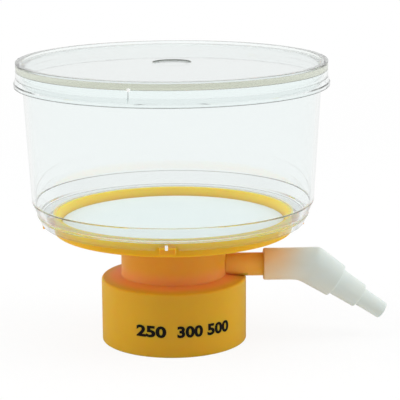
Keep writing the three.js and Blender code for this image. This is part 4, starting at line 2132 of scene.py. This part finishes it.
@dataclass(frozen=True)
class Studio:
    """A white floor and backdrop, large soft lamps and a room that is darker overhead.

    Args:
        target: what the lamps are turned to.
        floor_size: the floor's width, in metres.
        floor_cells: how many squares it has each way.
        floor_glow: how much of it glows under the object; all of it does far away.
        glow_from: how far out, in metres, the glow starts to grow.
        glow_to: where it is whole.
        paper_grain: the size of its grain, in metres.
        shade_level: how brightly the floor under the object shows through plastic.
        shade_from: how far out that shade starts to fade.
        shade_to: where it ends.
        room: how brightly the room lights the object.
        mirror_level: how brightly floor and room show in mirrors.
        dark_from: the height of a direction above which the room is darker.
        dark_to: the height where it is darkest.
        dark_level: how bright it is there.
        bounces: how often light bounces inside the clear pieces.
        lamps: the lamps.
    """

    target: tuple[float, float, float] = (0.0, 0.0, 0.05)
    floor_size: float = 8.0
    floor_cells: int = 16
    floor_glow: float = 0.88
    glow_from: float = 0.1
    glow_to: float = 0.8
    paper_grain: float = 0.004
    shade_level: float = 0.34
    shade_from: float = 0.08
    shade_to: float = 0.13
    room: float = 0.5
    mirror_level: float = 0.86
    dark_from: float = 0.08
    dark_to: float = 0.45
    dark_level: float = 0.25
    bounces: int = 32
    lamps: tuple[Softbox, ...] = (
        Softbox("softbox_left", (-0.9, -0.15, 0.55), 0.8, 0.9, 6.0),
        Softbox("softbox_right", (0.95, -0.1, 0.6), 0.8, 0.9, 7.0),
        Softbox("softbox_top", (0.0, 0.1, 1.15), 1.2, 0.8, 3.0),
    )

    def build(self) -> None:
        """Sets up the floor, the world, the lamps and the view transform."""
        self._floor()
        self._world()
        for lamp in self.lamps:
            self._hang(lamp)
        bpy.context.scene.view_settings.view_transform = "Standard"
        self._let_light_through()

    def _let_light_through(self) -> None:
        """Lets light bounce on inside the long clear disc and its rims."""
        cycles = bpy.context.scene.cycles
        cycles.max_bounces = self.bounces
        cycles.glossy_bounces = self.bounces
        cycles.transmission_bounces = self.bounces
        cycles.transparent_max_bounces = self.bounces

    def _floor(self) -> None:
        """Lays the white floor."""
        half, row = self.floor_size / 2, self.floor_cells + 1
        spots = [-half + self.floor_size * i / self.floor_cells for i in range(row)]
        points = [Vector((x, y, 0)) for y in spots for x in spots]
        starts = [j * row + i for j in range(row - 1) for i in range(row - 1)]
        faces = [(start, start + 1, start + row + 1, start + row) for start in starts]
        mesh = bpy.data.meshes.new("floor")
        mesh.from_pydata(points, [], faces)
        floor = placed("floor", mesh)
        mesh.materials.append(self._floor_material())

    def _floor_material(self) -> bpy.types.Material:
        """White paper that glows to the eye and still takes the object's shadow.

        Returns:
            The material.
        """
        graph = ShaderGraph("white_floor")
        paper = graph.noise(self.paper_grain, 4.0)
        colour = graph.mix((0.9, 0.9, 0.9), (0.93, 0.93, 0.93), paper)
        matt = graph.node("ShaderNodeBsdfDiffuse", inputs={"Color": colour})
        seen, mirrored = self._eye(graph)
        x, y, _ = graph.axes()
        reach = x.hypot(y)
        direct = self._direct(graph)
        near = reach.rise(self.shade_to, self.shade_from)
        shade = near * (1 - self.shade_level) * (1 - direct)
        strength = (1 - mirrored * (1 - self.mirror_level)) * (1 - shade)
        inputs = {"Color": (1, 1, 1), "Strength": strength}
        glow = graph.node("ShaderNodeEmission", inputs=inputs)
        far = reach.rise(self.glow_from, self.glow_to)
        share = seen * (far * (1 - self.floor_glow) + self.floor_glow)
        inputs = {0: share, 1: matt.outputs[0], 2: glow.outputs[0]}
        surface = graph.node("ShaderNodeMixShader", inputs=inputs)
        material = graph.finish(surface.outputs[0])
        material.cycles.emission_sampling = "NONE"
        return material

    @staticmethod
    def _eye(graph: Graph) -> tuple[Value, Value]:
        """Masks of the rays that reach the eye.

        Args:
            graph: the tree.

        Returns:
            1 for rays that end in the eye, straight, mirrored or through glass; and 1
            for the mirrored ones alone.
        """
        rays = graph.node("ShaderNodeLightPath").outputs
        kinds = ("Is Camera Ray", "Is Glossy Ray", "Is Transmission Ray")
        straight, glossy, through = (Value(graph, rays[kind]) for kind in kinds)
        return (straight + glossy + through).least(1.0), glossy * (1 - through)

    @staticmethod
    def _direct(graph: Graph) -> Value:
        """A mask of the rays that reach the eye straight."""
        return Value(graph, graph.node("ShaderNodeLightPath").outputs["Is Camera Ray"])

    def _world(self) -> None:
        """White to the eye; dimmer as a light and in mirrors, and dark overhead."""
        world = bpy.data.worlds.new("room")
        bpy.context.scene.world = world
        world.use_nodes = True
        graph = Graph(world.node_tree)
        world.node_tree.nodes.clear()
        towards = graph.node("ShaderNodeTexCoord").outputs["Generated"]
        parts = graph.node("ShaderNodeSeparateXYZ", inputs={0: towards}).outputs
        height = Value(graph, parts[2])
        overhead = height.rise(self.dark_from, self.dark_to) * (1 - self.dark_level)
        seen, mirrored = self._eye(graph)
        direct = self._direct(graph)
        reflected = (1 - overhead) * (1 - mirrored * (1 - self.mirror_level))
        level = direct + (1 - direct) * (seen * reflected + (1 - seen) * self.room)
        inputs = {"Color": (1, 1, 1), "Strength": level}
        background = graph.node("ShaderNodeBackground", inputs=inputs)
        graph.node("ShaderNodeOutputWorld", inputs={0: background.outputs[0]})

    def _hang(self, lamp: Softbox) -> None:
        """Hangs a softbox, turned to the object and unseen in reflections.

        Args:
            lamp: the softbox.
        """
        light = bpy.data.lights.new(lamp.name, "AREA")
        light.shape = "RECTANGLE"
        light.size = lamp.width
        light.size_y = lamp.height
        light.energy = lamp.power
        obj = placed(lamp.name, light)
        aim = (Vector(self.target) - Vector(lamp.place)).to_track_quat("-Z", "Y")
        obj.matrix_world = Matrix.Translation(lamp.place) @ aim.to_matrix().to_4x4()
        obj.visible_camera = False
        obj.visible_glossy = False
        obj.visible_transmission = False


@dataclass(frozen=True)
class Viewpoint:
    """The camera. Lengths in mm from the collar's mouth, angles in degrees.

    Args:
        distance: how far in front it stands.
        height: how high.
        pitch: how far it looks down.
        yaw: how far it looks to the right.
        roll: how far it leans.
        lens: its focal length.
        sensor: its sensor's width.
        near: where its view starts, in metres.
    """

    distance: float = 577.88
    height: float = 181.43
    pitch: float = 12.622
    yaw: float = 0.98
    roll: float = -0.355
    lens: float = 144.9
    sensor: float = 36.0
    near: float = 0.01

    def build(self) -> None:
        """Sets up the camera."""
        pitch, yaw, roll = (math.radians(angle) for angle in (self.pitch, self.yaw, self.roll))
        flat = math.cos(pitch)
        ahead = Vector((math.sin(yaw) * flat, math.cos(yaw) * flat, -math.sin(pitch)))
        level = ahead.cross(Vector((0, 0, 1))).normalized()
        upright = level.cross(ahead)
        right = level * math.cos(roll) + upright * math.sin(roll)
        up = upright * math.cos(roll) - level * math.sin(roll)
        camera = bpy.data.cameras.new("view")
        camera.lens = self.lens
        camera.sensor_width = self.sensor
        camera.clip_start = self.near
        obj = placed("view", camera)
        turn = Matrix((right, up, -ahead)).transposed().to_4x4()
        place = Vector((0, -self.distance, self.height)) * MM
        obj.matrix_world = Matrix.Translation(place) @ turn
        bpy.context.scene.camera = obj


# -------------------------------------------------------------------------------- main


def main() -> None:
    """Builds the filter piece by piece, then its studio and its view."""
    logging.basicConfig(level=logging.INFO, format="%(name)s: %(message)s")
    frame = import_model()
    LOG.info("the frame has bodies %s", ", ".join(frame["bodies"]))
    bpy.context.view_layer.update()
    places = Places.read()
    lugs = LugPattern()
    base = FilterBase(places, lugs)
    radii = (base.collar_radius * MM, base.neck_radius * MM, base.dish_radius * MM)
    amber = AmberPropylene(*radii, places.seat * MM)
    base.build(amber.material())
    CollarPrint(base.collar_radius).build(PadInk().material())
    NeckGasket(places).build(PaleSilicone().material())
    Membrane(places).build(FilterPaper().material())
    # the white gate marks are a painted highlight
    scar = GateHighlight().material()
    FunnelCup(places, lugs).build(ClearStyrene().material(), scar)
    lid = Lid(places)
    # the lid's finish paints shade on the recess's far wall and along its hem
    clear_lid = ClearStyrene(
        name="clear_lid",
        tint=(0.965, 0.999, 0.998),
        ring=lid.recess_radius * MM,
        ring_z=lid.recess_floor * MM,
        hem_z=places.lid_foot * MM,
    )
    lid.build(clear_lid.material(), scar)
    elbow = HoseElbow(places, base.arm_level)
    milky = NaturalPropylene(
        mouth_x=places.elbow_mouth * MM,
        arm_x=base.arm_reach * MM,
        bend_x=(places.elbow_mouth + elbow.bend_at) * MM,
        level=base.arm_level * MM,
        slant=math.radians(elbow.angle),
    )
    elbow.build(milky.material())
    Studio().build()
    Viewpoint().build()


if __name__ == "__main__":
    main()
